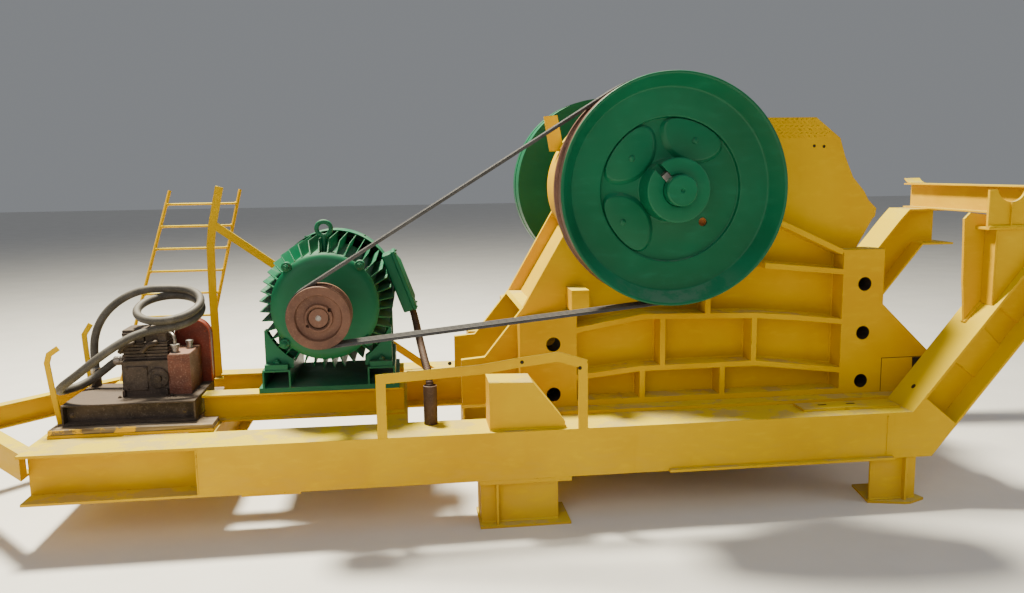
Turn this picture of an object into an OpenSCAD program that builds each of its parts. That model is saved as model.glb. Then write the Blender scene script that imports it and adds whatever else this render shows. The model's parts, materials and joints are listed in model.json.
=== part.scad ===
/* [Frame] */
// Height of the flywheel shaft above the ground
axis_z = 1560; // [1500:10:1640]
// Height of each foot, from the ground to the underside of the main beams
foot_h = 230; // [200:5:260]
// Depth of the wide-flange main beams
beam_h = 230; // [220:5:250]
// Flange width of the main beams
beam_b = 240; // [220:5:260]
// Flange thickness of the main beams
beam_tf = 12; // [10:1:16]
// Web thickness of the main beams
beam_tw = 8; // [6:1:12]
// Width of the whole frame over the main beams
frame_w = 1580; // [1560:10:1640]
// Reach of the main beams to the left of the shaft
beam_left = 2920; // [2860:10:3000]
// Distance from the shaft to the knee where the goose-necks start
knee_x = 1130; // [1120:5:1150]
// Angle at which the goose-necks rise
neck_angle = 51; // [49:1:53]
// Height of the underside of the top cross beam above the ground
neck_top = 1378; // [1350:2:1400]
// Depth of the top cross beam
small_h = 160; // [150:5:170]
// Flange width of the top cross beam and of the motor rails
small_b = 110; // [100:5:120]
// Plate thickness of the boxing plates, knee plates and foot plates
plate_t = 12; // [10:1:14]

/* [Drawbar] */
// Depth of the drawbar channels
draw_h = 125; // [110:5:140]
// Width of the drawbar channels
draw_b = 70; // [60:5:80]
// Reach of the drawbar's tip to the left of the shaft
draw_left = 3520; // [3480:10:3600]
// Outer diameter of the towing eye
eye_d = 150; // [130:5:170]
// Hole of the towing eye
eye_bore_d = 76; // [60:2:90]
// Thickness of the towing eye
eye_t = 45; // [35:5:55]

/* [Crusher body] */
// Clear width between the side plates, which is the jaw width plus the cheeks
jaw_gap = 610; // [590:10:630]
// Thickness of the side plates
side_t = 35; // [30:1:40]
// Depth of the stiffening ribs on the side plates
rib_d = 115; // [100:5:120]
// Thickness of the stiffening ribs
rib_t = 28; // [24:1:32]
// Diameter of the holes in the hole plates
side_hole_d = 72; // [60:2:78]
// Vertical distance between the holes
side_hole_step = 256; // [240:2:266]
// Distance from the shaft to the front hole column
front_hole_x = 1136; // [1126:2:1146]
// Distance from the shaft back to the rear hole column
rear_hole_x = 497; // [487:2:507]
// Thickness of the front and rear walls
wall_t = 40; // [32:2:48]
// Thickness of the plates under the two sides of the crusher
skid_t = 16; // [12:1:20]

/* [Jaws] */
// Width of the jaw plates
jaw_w = 580; // [560:5:584]
// Thickness of the toothed jaw plates
jaw_t = 60; // [50:2:70]
// Pitch of the teeth on the jaw plates
tooth_pitch = 72.5; // [72.5:0.5:73]
// Depth of the teeth on the jaw plates
tooth_h = 30; // [20:2:36]
// Opening between the jaws at the top
gape = 400; // [380:5:420]

/* [Flywheels and shaft] */
// Diameter of both flywheels
wheel_d = 1050; // [1000:10:1070]
// Width of the flywheels along the shaft
wheel_w = 220; // [200:5:230]
// Distance over the outer lips of the two flywheels
wheel_span = 1698; // [1680:2:1710]
// How far the grooved belt rim lies below the edge of the near flywheel's disc
groove_drop = 3; // [2:1:6]
// Radius of the recess in the backs of the flywheels
back_r = 350; // [330:5:360]
// Width of the raised lip round the flywheel's outer face
lip_w = 12; // [8:1:18]
// Depth of the flat ring inside the lip
dish_depth = 80; // [66:2:84]
// Diameter of the round recess inside the flat ring
recess_d = 656; // [640:4:672]
// Depth of that recess below the flat ring
recess_depth = 20; // [14:2:26]
// Diameter of the flywheel hub
hub_d = 290; // [270:5:310]
// How far the hub stands out past the flywheel's lip
hub_out = 40; // [20:2:50]
// Diameter of the shaft in the flywheels
shaft_d = 140; // [130:2:150]
// How far the shaft stands out past the hubs
shaft_out = 56; // [40:2:70]
// Width of the bearing housings along the shaft
bearing_w = 130; // [110:5:140]
// Radius of the round cover over the head of the swing jaw
cover_r = 398; // [388:2:404]
// Thickness of the cover plates
cover_t = 8; // [6:1:10]

/* [Motor] */
// Distance from the flywheel shaft back to the motor shaft
motor_back = 1605; // [1600:5:1615]
// Height of the motor shaft above the ground
motor_z = 1022; // [1015:1:1030]
// Height of the motor shaft above the motor's feet
motor_h = 315; // [310:1:318]
// Radius over the cooling fins
fin_r = 322; // [318:1:326]
// Radius of the motor's barrel under the fins
barrel_r = 258; // [250:2:264]
// Number of cooling fins
fin_n = 40; // [32:4:44]
// Thickness of a cooling fin
fin_t = 7; // [5:1:9]
// Thickness of the motor's base plate
slide_t = 25; // [20:1:30]
// Height of the two channels between the base plate and the motor's feet
riser_h = 87; // [80:1:92]
// Length of the terminal box
box_l = 325; // [300:5:340]
// Distance across the motor's feet holes along the machine
foot_a = 508; // [500:4:516]
// Distance between the motor's feet holes along its shaft
foot_b = 457; // [449:4:465]
// Hole in a motor foot
foot_hole_d = 28; // [24:1:30]
// Diameter of the motor pulley
pulley_d = 284; // [270:2:290]
// Width of the motor pulley
pulley_w = 150; // [144:2:154]

/* [Belts] */
// Number of belts
belt_n = 4; // [4:1:4]
// Distance between belts
belt_pitch = 28; // [27:0.5:29]
// Width of a belt at its back
belt_w = 22; // [20:1:23]
// Thickness of a belt
belt_t = 14; // [12:1:15]
// Running clearance round a belt
belt_gap = 0.6; // [0.5:0.1:0.9]

/* [Left deck] */
// Width of a deck plank
plank_w = 145; // [140:1:148]
// Thickness of a deck plank
plank_t = 27; // [22:1:34]
// Thickness of the steel plate under the planks
deck_t = 15; // [10:1:20]
// Length of the power unit's channel stand
stand_l = 605; // [580:5:610]
// Height of the channel stand
stand_h = 98; // [90:2:110]
// Width of the ladder at its head
ladder_w = 414; // [400:2:430]
// Diameter of the ladder's stringers
ladder_rod = 20; // [16:1:24]
// Distance between the ladder's rungs
rung_step = 132; // [126:1:138]
// Width of the guard post and its brace
post_w = 46; // [40:1:52]
// Diameter of the hose
hose_d = 40; // [38:0.5:42]

/* [Hidden] */
$fn = 48;

beam_top = foot_h + beam_h;
half_w = frame_w / 2;
beam_y = half_w - beam_b / 2;
beam_in = half_w - beam_b;
side_in = jaw_gap / 2;
side_out = side_in + side_t;
rib_out = side_out + rib_d;
wheel_y = wheel_span / 2;
wheel_in = wheel_y - wheel_w;
belt_y = wheel_in + 83;
groove_d = wheel_d - 2 * groove_drop;
stub_reach = 2215;
flange_reach = stub_reach + 75;
eye_x = -draw_left - 110;
x_left = eye_x - eye_d / 2;
x_shaft = -(x_left + flange_reach) / 2;
lap = 0.3;
run_fit = 0.05;

yellow = [0.87, 0.66, 0.08];
green = [0.03, 0.42, 0.24];
rust = [0.47, 0.33, 0.25];

// Moves what is drawn about the flywheel shaft, at ground level, to its place in the part
module at(x = 0, y = 0, z = 0) {
    translate([x_shaft + x, y, z]) children();
}

// Extrudes a side view, drawn in x and z, between two distances across the machine
module side_slab(y0, y1) {
    translate([0, y1, 0]) rotate([90, 0, 0]) linear_extrude(y1 - y0) children();
}

// Block between two corners
module block(a, b) {
    translate(a) cube(b - a);
}

function normal(a, b) = [-(b[1] - a[1]), b[0] - a[0]] / norm(b - a);
function moved(p, i, t) =
    let (n1 = normal(p[max(i - 1, 0)], p[max(i, 1)]))
    let (n2 = normal(p[min(i, len(p) - 2)], p[min(i + 1, len(p) - 1)]))
    p[i] + t * (n1 + n2) / (1 + n1 * n2);
// Outline of a bent plate that follows a path, with its thickness to the left of the path
function strip(p, t) = concat(p, [for (i = [len(p) - 1:-1:0]) moved(p, i, t)]);

// Wide-flange beam along +X, with its underside at z = 0
module h_beam(l, h, b, tf, tw) {
    translate([0, -b / 2, 0]) cube([l, b, tf]);
    translate([0, -b / 2, h - tf]) cube([l, b, tf]);
    translate([0, -tw / 2, tf - lap]) cube([l, tw, h - 2 * tf + 2 * lap]);
}

// Main beam on the near side, with its boxing plate and the wider stretch of its bottom flange
module main_beam() {
    at(-beam_left, -beam_y, foot_h) h_beam(beam_left + knee_x, beam_h, beam_b, beam_tf, beam_tw);
    at() block([-box_left, -half_w, foot_h + beam_tf - lap],
               [knee_x, -half_w + plate_t, beam_top - beam_tf + lap]);
    at(0, 0, foot_h) block([0, -half_w - flange_out, 0], [knee_x, -half_w + lap, beam_tf]);
}
box_left = 2166;
flange_out = 25;

module near_main_beam() {
    color(yellow) main_beam();
}

module far_main_beam() {
    color(yellow) mirror([0, 1, 0]) main_beam();
}

neck_slope = tan(neck_angle);
neck_start = knee_x + 100;
neck_skew = beam_h * (1 - cos(neck_angle)) / sin(neck_angle);
stub_low = neck_top - beam_h;
corner_cut = [62, 68];
neck_end = neck_start + (neck_top - corner_cut[1] - beam_top) / neck_slope;
neck_up = [
    [knee_x, beam_top],
    [neck_start, beam_top],
    [neck_end, neck_top - corner_cut[1]],
    [neck_end + corner_cut[0], neck_top],
    [stub_reach, neck_top]];
neck_low = [
    [knee_x, foot_h],
    [neck_start + neck_skew, foot_h],
    [neck_start + neck_skew + (stub_low - foot_h) / neck_slope, stub_low],
    [flange_reach, stub_low]];

// Goose-neck on the near side: web, flanges, knee plate and web doublers
module gooseneck() {
    web = concat(neck_up, [[stub_reach, stub_low]], [for (i = [2:-1:0]) neck_low[i]]);
    at() {
        side_slab(-beam_y - beam_tw / 2, -beam_y + beam_tw / 2) polygon(web);
        side_slab(-half_w, -beam_in) polygon(strip(neck_up, -beam_tf));
        side_slab(-half_w, -beam_in) polygon(strip(neck_low, beam_tf));
        side_slab(-half_w, -half_w + plate_t) intersection() {
            polygon(web);
            polygon([[knee_x, foot_h], [knee_x, beam_top + 60], [neck_start + 58, beam_top + 72],
                     [neck_start + 226, beam_top - 68], [neck_start + 220, foot_h]]);
        }
    }
}

module near_gooseneck() {
    color(yellow) gooseneck();
}

module far_gooseneck() {
    color(yellow) mirror([0, 1, 0]) gooseneck();
}

// Cross beam on top of the two goose-necks
module top_cross_beam() {
    cross_x = 2150;
    color(yellow) at(cross_x, -half_w - 30, neck_top)
        rotate([0, 0, 90]) h_beam(frame_w + 60, small_h, small_b, 9, 7);
}

// Cross beams between the main beams: left end, under the motor, under the crusher
module frame_cross_beams() {
    color(yellow) for (x = [-beam_left + 60, rail_start + 27, rail_start + rail_l - 46, -640, knee_x - 60])
        at(x, -beam_in, foot_h) rotate([0, 0, 90]) h_beam(2 * beam_in, beam_h, 120, 10, beam_tw);
}

eye_block = 3450;
// Bar of the drawbar with a channel in the face towards the machine's middle, longer than it is left
module drawbar_side(s) {
    l = 1100;
    groove_y = 7;
    flange_t = 9;
    difference() {
        translate([0, -draw_b / 2, 0]) cube([l, draw_b, draw_h]);
        translate([-1, s > 0 ? -draw_b : groove_y, flange_t])
            cube([l + 2, draw_b - groove_y, draw_h - 2 * flange_t]);
    }
}

// Two channels that run in from the ends of the main beams towards the towing eye
module drawbar() {
    lean = atan2(half_w - 90, draw_left - beam_left);
    over = 100;
    color(yellow) at() intersection() {
        for (s = [-1, 1])
            translate([-draw_left, 0, beam_top - draw_h]) rotate([0, 0, s * lean]) drawbar_side(s);
        translate([-eye_block, -half_w - over, 0])
            cube([eye_block - beam_left, frame_w + 2 * over, beam_top]);
    }
}

// Block at the drawbar's tip with the eye's plate
module towing_eye() {
    tip = [50, 280, draw_h];
    color(yellow) at(0, 0, beam_top - draw_h) difference() {
        union() {
            translate([-eye_block - tip[0], -tip[1] / 2, 0]) cube(tip);
            translate([eye_x, 0, draw_h / 2 - eye_t / 2]) {
                cylinder(h = eye_t, d = eye_d);
                translate([0, -eye_d / 3, 0])
                    cube([-eye_x - eye_block - tip[0] + 10, eye_d / 1.5, eye_t]);
            }
        }
        translate([eye_x, 0, -1]) cylinder(h = draw_h + 2, d = eye_bore_d);
    }
}

// Foot under a main beam at mid length: top plate, a box open behind, a rib before it, base plate
module middle_foot() {
    web_t = 12;
    top_t = 20;
    web_y = -half_w + 40;
    low = plate_t - lap;
    high = foot_h - top_t + lap;
    at() {
        block([-905, -half_w, foot_h - top_t], [-470, -beam_in, foot_h]);
        block([-897, web_y, low], [-529, web_y + web_t, high]);
        for (x = [-897, -529 - web_t]) block([x, web_y, low], [x + web_t, -beam_in - 4, high]);
        block([-828, -half_w + 4, low], [-828 + web_t, web_y + lap, high]);
        block([-905, -half_w - 8, 0], [-475, -beam_in, plate_t]);
    }
}

module middle_feet() {
    color(yellow) {
        middle_foot();
        mirror([0, 1, 0]) middle_foot();
    }
}

// Foot under the knee of a goose-neck: front plate, rib before it and web behind it
module end_foot() {
    front = -half_w + 24;
    web_t = 12;
    low = plate_t - lap;
    at() {
        block([1033, front, low], [1272, front + plate_t, foot_h]);
        block([1201, front - 30, low], [1201 + web_t, front + lap, foot_h]);
        block([1146, front + plate_t - lap, low], [1146 + web_t, -beam_in - 10, foot_h]);
        linear_extrude(plate_t) polygon([[1022, front - 8], [1195, front - 52], [1225, front - 52],
                                         [1318, front - 8], [1250, -beam_in], [1060, -beam_in]]);
    }
}

module end_feet() {
    color(yellow) {
        end_foot();
        mirror([0, 1, 0]) end_foot();
    }
}

saddle_x = 1706;
saddle_y = half_w - 40;
saddle_base = axis_z - 220;
saddle_ends = [1590, 1825];
saddle_web_x = 1640;
saddle_t = 12;
function neck_at(x) = beam_top + (x - neck_start) * neck_slope;

// Bracket with a round notch that stands on the near goose-neck
module saddle_bracket() {
    shelf = saddle_base + saddle_t;
    cut_from = saddle_web_x - 40;
    cut_to = saddle_web_x + 60;
    color(yellow) at() {
        side_slab(-saddle_y, -saddle_y + saddle_t)
            polygon([[saddle_web_x, neck_at(saddle_web_x)], [saddle_web_x, saddle_base],
                     [saddle_web_x + saddle_t, saddle_base],
                     [neck_start + (saddle_base - beam_top) / neck_slope, saddle_base]]);
        difference() {
            block([saddle_web_x, -saddle_y, beam_top],
                  [saddle_web_x + saddle_t, -saddle_y + 90, saddle_base]);
            side_slab(-half_w, 0)
                polygon([[cut_from, neck_at(cut_from)], [cut_to, neck_at(cut_to)],
                         [cut_to, beam_top - 10], [cut_from, beam_top - 10]]);
        }
        block([saddle_ends[0], -saddle_y - 10, saddle_base], [saddle_ends[1] + 20, -saddle_y + 90, shelf]);
        side_slab(-saddle_y, -saddle_y + 16) difference() {
            polygon([[saddle_ends[0], shelf], [saddle_ends[0], axis_z - 27],
                     [saddle_ends[1], axis_z - 27], [saddle_ends[1], shelf]]);
            translate([saddle_x, axis_z - 11]) circle(r = 76);
        }
    }
}

// Flame-cut post that stands on the near goose-neck behind the bracket
module saddle_post() {
    left = 1560;
    right = 1675;
    color(yellow) at() side_slab(-beam_y + 12, -beam_y + 28)
        polygon([[left, neck_at(left)], [left - 19, axis_z - 475], [left - 30, axis_z - 170],
                 [left, axis_z - 140], [right - 35, axis_z - 150], [right, axis_z - 175],
                 [right, neck_at(right)]]);
}

rail_top = motor_z - motor_h - slide_t - riser_h;
rail_start = -2217;
rail_l = 973;
rail_near = -340;
rail_far = rail_near + foot_b;

// Two rails along the machine that carry the motor
module motor_rails() {
    color(yellow) for (y = [rail_near, rail_far])
        at(rail_start, y, beam_top) h_beam(rail_l, rail_top - beam_top, small_b, 9, 7);
}

// Green base plate on the rails with two channels, open below, that carry the motor's feet
module motor_slide_base() {
    near_y = rail_near - 55;
    far_y = rail_far + 55;
    half = riser_w / 2;
    riser_top = slide_t + riser_h;
    color(green) at(-motor_back, 0, rail_top) {
        block([-slide_l / 2, near_y, 0], [slide_l / 2, far_y, slide_t]);
        for (x = [-foot_a / 2, foot_a / 2]) difference() {
            block([x - half, near_y, slide_t - lap], [x + half, far_y, riser_top]);
            block([x - half + riser_t, near_y - 1, slide_t],
                  [x + half - riser_t, far_y + 1, riser_top - riser_t]);
        }
    }
}
slide_l = 680;
riser_w = 135;
riser_t = 9;

barrel_l = 640;
barrel_y = (rail_near + rail_far) / 2;
shield_t = 45;

// Finned barrel of the motor
module motor_barrel() {
    root = 4;
    color(green) at(-motor_back, barrel_y + barrel_l / 2, motor_z) rotate([90, 0, 0])
        linear_extrude(barrel_l) {
            circle(r = barrel_r);
            for (i = [0:fin_n - 1])
                rotate((i + 0.5) * 360 / fin_n) translate([barrel_r - root, -fin_t / 2])
                    square([fin_r - barrel_r + root, fin_t]);
        }
}

module motor_end_shields() {
    color(green) for (s = [-1, 1])
        at(-motor_back, barrel_y + s * (barrel_l + shield_t) / 2, motor_z) rotate([90, 0, 0])
            difference() {
                cylinder(h = shield_t, r = barrel_r, center = true);
                cylinder(h = shield_t + 2, r = shaft_r + run_fit, center = true);
            }
}

module motor_fan_cover() {
    cover_l = shield_t + 130;
    sheet_t = 4;
    color(green) at(-motor_back, barrel_y + barrel_l / 2 + cover_l, motor_z) rotate([90, 0, 0])
        difference() {
            cylinder(h = cover_l, r = fin_r + sheet_t);
            translate([0, 0, sheet_t]) cylinder(h = cover_l, r = fin_r);
        }
}

// Four feet of the motor, each a pad with a hole and a web up to the barrel
module motor_feet() {
    color(green) for (sx = [-1, 1], y = [rail_near, rail_far])
        at(-motor_back + sx * foot_a / 2, y, motor_z - motor_h) difference() {
            union() {
                translate([-55, -50, 0]) cube([110, 100, pad_t]);
                side_web(sx);
            }
            translate([0, -20, -1]) cylinder(h = pad_t + 2, d = foot_hole_d);
        }
}
pad_t = 26;

// Web of one motor foot, cut to the barrel's round
module side_web(sx) {
    difference() {
        translate([sx > 0 ? -80 : -55, -8, 0]) cube([135, 58, 190]);
        translate([-sx * foot_a / 2, 60, motor_h]) rotate([90, 0, 0]) cylinder(h = 200, r = fin_r + lap);
    }
}

box_angle = 20;
box_low = 213;
box_deep = 85;
box_w = 190;
// Terminal box against the fins, tilted to lie square to a radius
module motor_terminal_box() {
    color(green) at(-motor_back, barrel_y - box_w / 2, motor_z) rotate([0, -box_angle, 0])
        translate([fin_r + lap, 0, -box_low]) cube([box_deep, box_w, box_l]);
}

// Ring on a stem that stands on the barrel between two fins
module motor_lifting_eye() {
    eye_z = fin_r + 47;
    ring_r = 34;
    ring_wire = 22;
    stem_d = 28;
    color(green) at(-motor_back, barrel_y - 235, motor_z) {
        translate([0, 0, barrel_r + lap]) cylinder(h = eye_z - 28 - barrel_r, d = stem_d);
        translate([0, 0, eye_z]) rotate([90, 0, 0])
            rotate_extrude() translate([ring_r, 0]) circle(d = ring_wire);
    }
}

shaft_r = 45;
pulley_y = -belt_y;

module motor_shaft() {
    color([0.5, 0.5, 0.5]) at(-motor_back, 0, motor_z) rotate([90, 0, 0])
        translate([0, 0, -barrel_y + barrel_l / 2 + 1]) cylinder(h = 330, r = shaft_r);
}

// Sections of the belt grooves, side by side in a rim at x = 0
module groove_row() {
    floor_x = -18;
    lean_in = 5;
    for (i = [0:belt_n - 1]) translate([0, belt_shift(i)])
        polygon([[1, -belt_w / 2 - 1], [1, belt_w / 2 + 1],
                 [floor_x, belt_w / 2 - lean_in], [floor_x, -belt_w / 2 + lean_in]]);
}
// Distance of one belt from the middle of the row
function belt_shift(i) = (i - (belt_n - 1) / 2) * belt_pitch;

module motor_pulley() {
    color(rust) at(-motor_back, pulley_y, motor_z) rotate([90, 0, 0]) rotate_extrude()
        difference() {
            translate([0, -pulley_w / 2]) square([pulley_d / 2, pulley_w]);
            translate([pulley_d / 2, 0]) groove_row();
            translate([-1, -pulley_w]) square([shaft_r + 1, 2 * pulley_w]);
            translate([60, pulley_w / 2 - 18]) square([44, 40]);
        }
}

belt_dz = axis_z - motor_z;
belt_c = norm([motor_back, belt_dz]);
belt_lean = atan2(belt_dz, motor_back);
// Angle between the line of the two centres and a radius to where a belt leaves its wheel
belt_wrap = acos((groove_d - pulley_d) / 2 / belt_c);
// Points of an arc about [x, 0], in n equal steps
function arc(x, r, from, to, n) =
    [for (i = [0:n]) let (a = from + (to - from) * i / n) [x + r * cos(a), r * sin(a)]];
// Outline round both wheels at a height above their rims
function belt_outline(up) = concat(
    arc(belt_c, groove_d / 2 + up, belt_wrap - 180, 180 - belt_wrap, 50),
    arc(0, pulley_d / 2 + up, 180 - belt_wrap, 180 + belt_wrap, 20));
// Closed run of belt between two heights above the rims
module belt_run(low, high, w) {
    side_slab(-w / 2, w / 2) difference() {
        polygon(belt_outline(high));
        polygon(belt_outline(low));
    }
}

// One fixed loop of belts: a thin band over the rims and one rib in each groove
module drive_belts() {
    band_t = 4;
    color([0.2, 0.2, 0.2]) at(-motor_back, pulley_y, motor_z) rotate([0, -belt_lean, 0]) {
        belt_run(belt_gap, belt_gap + band_t, belt_n * belt_pitch - 4);
        for (i = [0:belt_n - 1]) translate([0, belt_shift(i), 0])
            belt_run(belt_gap + band_t - belt_t, belt_gap + lap, belt_w - 12);
    }
}

base_z = beam_top + skid_t;
// Ends of the hole plates and of the plates under them
plate_ends = [-665, 1506];
hole_top = axis_z - 508;
// Top edge of a side plate, from the bearing seat down to the hole plate
seat_z = axis_z - 122;
top_edge = [[560, seat_z], [700, axis_z - 180], [1020, axis_z - 329], [1240, axis_z - 329]];
// Side view of a side plate, drawn about the shaft
side_view = concat(
    [[-950, base_z], [-950, axis_z - 850], [-830, axis_z - 840], [-630, axis_z - 590], [-360, seat_z]],
    top_edge, [[1240, axis_z - 616], [plate_ends[1], axis_z - 875], [plate_ends[1], base_z]]);

wall_x = 1016;
rib_1 = [[596, axis_z - 384], [1030, axis_z - 429]];
rib_2 = [[-389, axis_z - 684], [-42, axis_z - 625], [551, axis_z - 639], [760, axis_z - 657],
         [1030, axis_z - 688]];
rib_3 = [[-389, axis_z - 925], [-50, axis_z - 891], [558, axis_z - 888], [1030, axis_z - 945]];
rib_base = [[-389, base_z], [1030, base_z]];
rib_diag = [top_edge[0], top_edge[1], top_edge[2]];

// Plates on the cross beams that carry the two sides of the crusher
module crusher_skids() {
    color(yellow) for (s = [-1, 1])
        at(0, 0, beam_top) block([plate_ends[0], min(s * beam_in, s * side_in), 0],
                                 [plate_ends[1], max(s * beam_in, s * side_in), skid_t]);
}

// Side of the crusher's body: plate, ribs, hole plates and toe
module side_frame() {
    difference() {
        at() {
            side_slab(-side_out, -side_in) polygon(side_view);
            side_slab(-rib_out, -side_out + lap) {
                for (r = [rib_1, rib_2, rib_3, rib_diag]) polygon(strip(r, -rib_t));
                polygon(strip(rib_base, rib_t));
            }
            for (r = [[298, axis_z - 635, axis_z - 122], [64, axis_z - 895, axis_z - 628],
                      [546, axis_z - 895, axis_z - 640], [-40, base_z, axis_z - 892],
                      [381, base_z, axis_z - 890]])
                block([r[0] - rib_t / 2, -rib_out, r[1]], [r[0] + rib_t / 2, -side_out + lap, r[2]]);
            side_slab(-rib_out, -side_out + lap)
                polygon([[wall_x, base_z], [wall_x, axis_z - 329], [1240, axis_z - 329], [1240, axis_z - 616],
                         [plate_ends[1], axis_z - 875], [plate_ends[1], base_z]]);
            side_slab(-rib_out, -side_out + lap)
                polygon([[plate_ends[0], base_z], [plate_ends[0], axis_z - 640], [-378, axis_z - 600],
                         [-378, base_z]]);
            block([-412, -rib_out - 50, axis_z - 593], [-324, -side_out + lap, axis_z - 489]);
        }
        for (h = [0:2]) at(front_hole_x, -rib_out - 1, hole_top - h * side_hole_step)
            rotate([-90, 0, 0]) cylinder(h = rib_d + side_t + 2, d = side_hole_d);
        for (h = [1:2]) at(-rear_hole_x, -rib_out - 1, hole_top - h * side_hole_step)
            rotate([-90, 0, 0]) cylinder(h = rib_d + side_t + 2, d = side_hole_d);
    }
}

module near_side_frame() {
    color(yellow) side_frame();
}

module far_side_frame() {
    color(yellow) mirror([0, 1, 0]) side_frame();
}

// Upright front wall with shelves that stiffen it
module front_wall() {
    shelf = [209, 30];
    color(yellow) at() side_slab(-side_in, side_in) {
        translate([wall_x, base_z]) square([wall_t, axis_z - 60 - base_z]);
        for (z = [base_z, axis_z - 915, axis_z - 655, axis_z - 420]) translate([wall_x, z]) square(shelf);
    }
}

// Sloping rear wall with its two cross plates
module rear_wall() {
    color(yellow) at() side_slab(-side_in, side_in) {
        difference() {
            polygon([[-560, axis_z - 590], [-332, axis_z - 205], [-307, axis_z - 230], [-530, axis_z - 600]]);
            translate([0, axis_z]) circle(r = cover_r + lap);
        }
        polygon([[-630, axis_z - 590], [-560, axis_z - 590], [-530, axis_z - 600], [-540, axis_z - 615],
                 [-645, axis_z - 608]]);
    }
}

toggle_x = -250;
toggle_back = -640;
toggle_z = base_z + 190;
rod_z = base_z + 62;
rod_d = 40;
// Cross member between the side plates that the toggle rests against
module toggle_block() {
    color(yellow) at() difference() {
        block([toggle_back, -side_in, base_z], [toggle_x, side_in, toggle_z + 70]);
        block([-600, -side_in - 1, base_z + 30], [toggle_x - 60, side_in + 1, toggle_z + 30]);
        translate([-700, 0, rod_z]) rotate([0, 90, 0]) cylinder(h = 500, r = rod_d / 2 + lap);
    }
}

// Jaw plate standing up along +Z with teeth facing -X
module jaw_plate(h) {
    root = tooth_pitch / 2 - 6;
    tip = 8;
    translate([0, -jaw_w / 2, 0]) cube([jaw_t - tooth_h, jaw_w, h]);
    for (i = [0:floor(jaw_w / tooth_pitch) - 1])
        translate([0, -jaw_w / 2 + (i + 0.5) * tooth_pitch, 0]) linear_extrude(h)
            polygon([[lap, -root], [lap, root], [-tooth_h, tip], [-tooth_h, -tip]]);
}

fixed_face = wall_x - jaw_t;
module fixed_jaw_plate() {
    low = base_z + 90;
    color([0.35, 0.33, 0.32]) at(fixed_face + tooth_h - lap, 0, low) jaw_plate(axis_z - 340 - low);
}

jaw_face = fixed_face - gape;
jaw_head = [jaw_face, axis_z - 60];
jaw_foot = [fixed_face - 75, base_z + 110];
jaw_slope = atan2(jaw_head[1] - jaw_foot[1], jaw_foot[0] - jaw_head[0]);
jaw_front = [jaw_head - [jaw_t / sin(jaw_slope), 0], jaw_foot - [jaw_t / sin(jaw_slope), 0]];
// Casting of the swing jaw, which hangs on the eccentric shaft
module swing_jaw() {
    color([0.5, 0.45, 0.4]) at() difference() {
        union() {
            side_slab(-jaw_w / 2, jaw_w / 2) translate([0, axis_z]) circle(r = pitman_r);
            side_slab(-jaw_w / 2, jaw_w / 2)
                polygon([jaw_front[0] - [70, 0], jaw_front[1] - [70, 0], jaw_front[1], jaw_front[0]]);
            for (y = [-jaw_w / 2, -20, jaw_w / 2 - 40]) side_slab(y, y + 40)
                polygon([[-120, axis_z - 140], [seat_x, toggle_z + 60], [seat_x, toggle_z - 60],
                         jaw_front[1] - [60, 0], jaw_front[0] - [60, 0], [140, axis_z + 110]]);
            block([seat_x, -jaw_w / 2, toggle_z - 60], [seat_x + 70, jaw_w / 2, toggle_z + 60]);
            block([seat_x, -30, rod_z - 30], [seat_x + 60, 30, toggle_z - 50]);
        }
        translate([0, jaw_w / 2 + 1, axis_z]) rotate([90, 0, 0]) cylinder(h = jaw_w + 2, d = pitman_bore);
    }
}
pitman_r = 190;
pitman_bore = 200;
seat_x = 330;

module swing_jaw_plate() {
    color([0.35, 0.33, 0.32]) at(jaw_front[1][0] + lap, 0, jaw_foot[1]) rotate([0, jaw_slope - 90, 0])
        mirror([1, 0, 0]) translate([-jaw_t + tooth_h, 0, 30]) jaw_plate(norm(jaw_head - jaw_foot) - 40);
}

module toggle_plate() {
    color([0.4, 0.36, 0.33]) at()
        block([toggle_x + lap, -220, toggle_z - 20], [seat_x - lap, 220, toggle_z + 20]);
}

// Rod that pulls the swing jaw back against the toggle, with its spring and nut behind
module tension_rod() {
    rod_end = -880;
    spring_l = 150;
    spring_end = toggle_back - lap - spring_l;
    color([0.4, 0.36, 0.33]) at(0, 0, rod_z) rotate([0, 90, 0]) {
        translate([0, 0, rod_end]) cylinder(h = seat_x - lap - rod_end, d = rod_d);
        translate([0, 0, spring_end]) cylinder(h = spring_l, d = 84);
        translate([0, 0, spring_end - 45]) cylinder(h = 46, d = 66, $fn = 6);
    }
}

module bearing_housings() {
    housing_r = 185;
    foot_l = 520;
    color(yellow) for (s = [-1, 1]) at(0, s * (side_in + 60), 0) difference() {
        union() {
            translate([0, bearing_w / 2, axis_z]) rotate([90, 0, 0]) cylinder(h = bearing_w, r = housing_r);
            translate([-foot_l / 2, -bearing_w / 2, seat_z]) cube([foot_l, bearing_w, 70]);
        }
        translate([-foot_l, -bearing_w, seat_z - 200]) cube([2 * foot_l, 2 * bearing_w, 200]);
        translate([0, bearing_w, axis_z]) rotate([90, 0, 0])
            cylinder(h = 2 * bearing_w, r = shaft_d / 2 + run_fit);
    }
}

cover_a0 = 44;
cover_a1 = 216;
// Round cover over the head of the swing jaw
module shaft_cover() {
    color(yellow) at(0, 0, axis_z) rotate([90, 0, 0]) translate([0, 0, -side_in])
        rotate([0, 0, cover_a0]) rotate_extrude(angle = cover_a1 - cover_a0)
            translate([cover_r - cover_t, 0]) square([cover_t, 2 * side_in]);
}

// Upright plate on the round cover with a small foot along the cover
module cover_bracket() {
    foot_angle = 142;
    color(yellow) at(0, 0, axis_z) {
        side_slab(190, 202) difference() {
            polygon([[-400, 200], [-320, 200], [-356, 399], [-432, 391]]);
            circle(r = cover_r + lap);
        }
        side_slab(150, 240) rotate(foot_angle) translate([cover_r + lap, -45]) square([10, 90]);
    }
}

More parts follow.
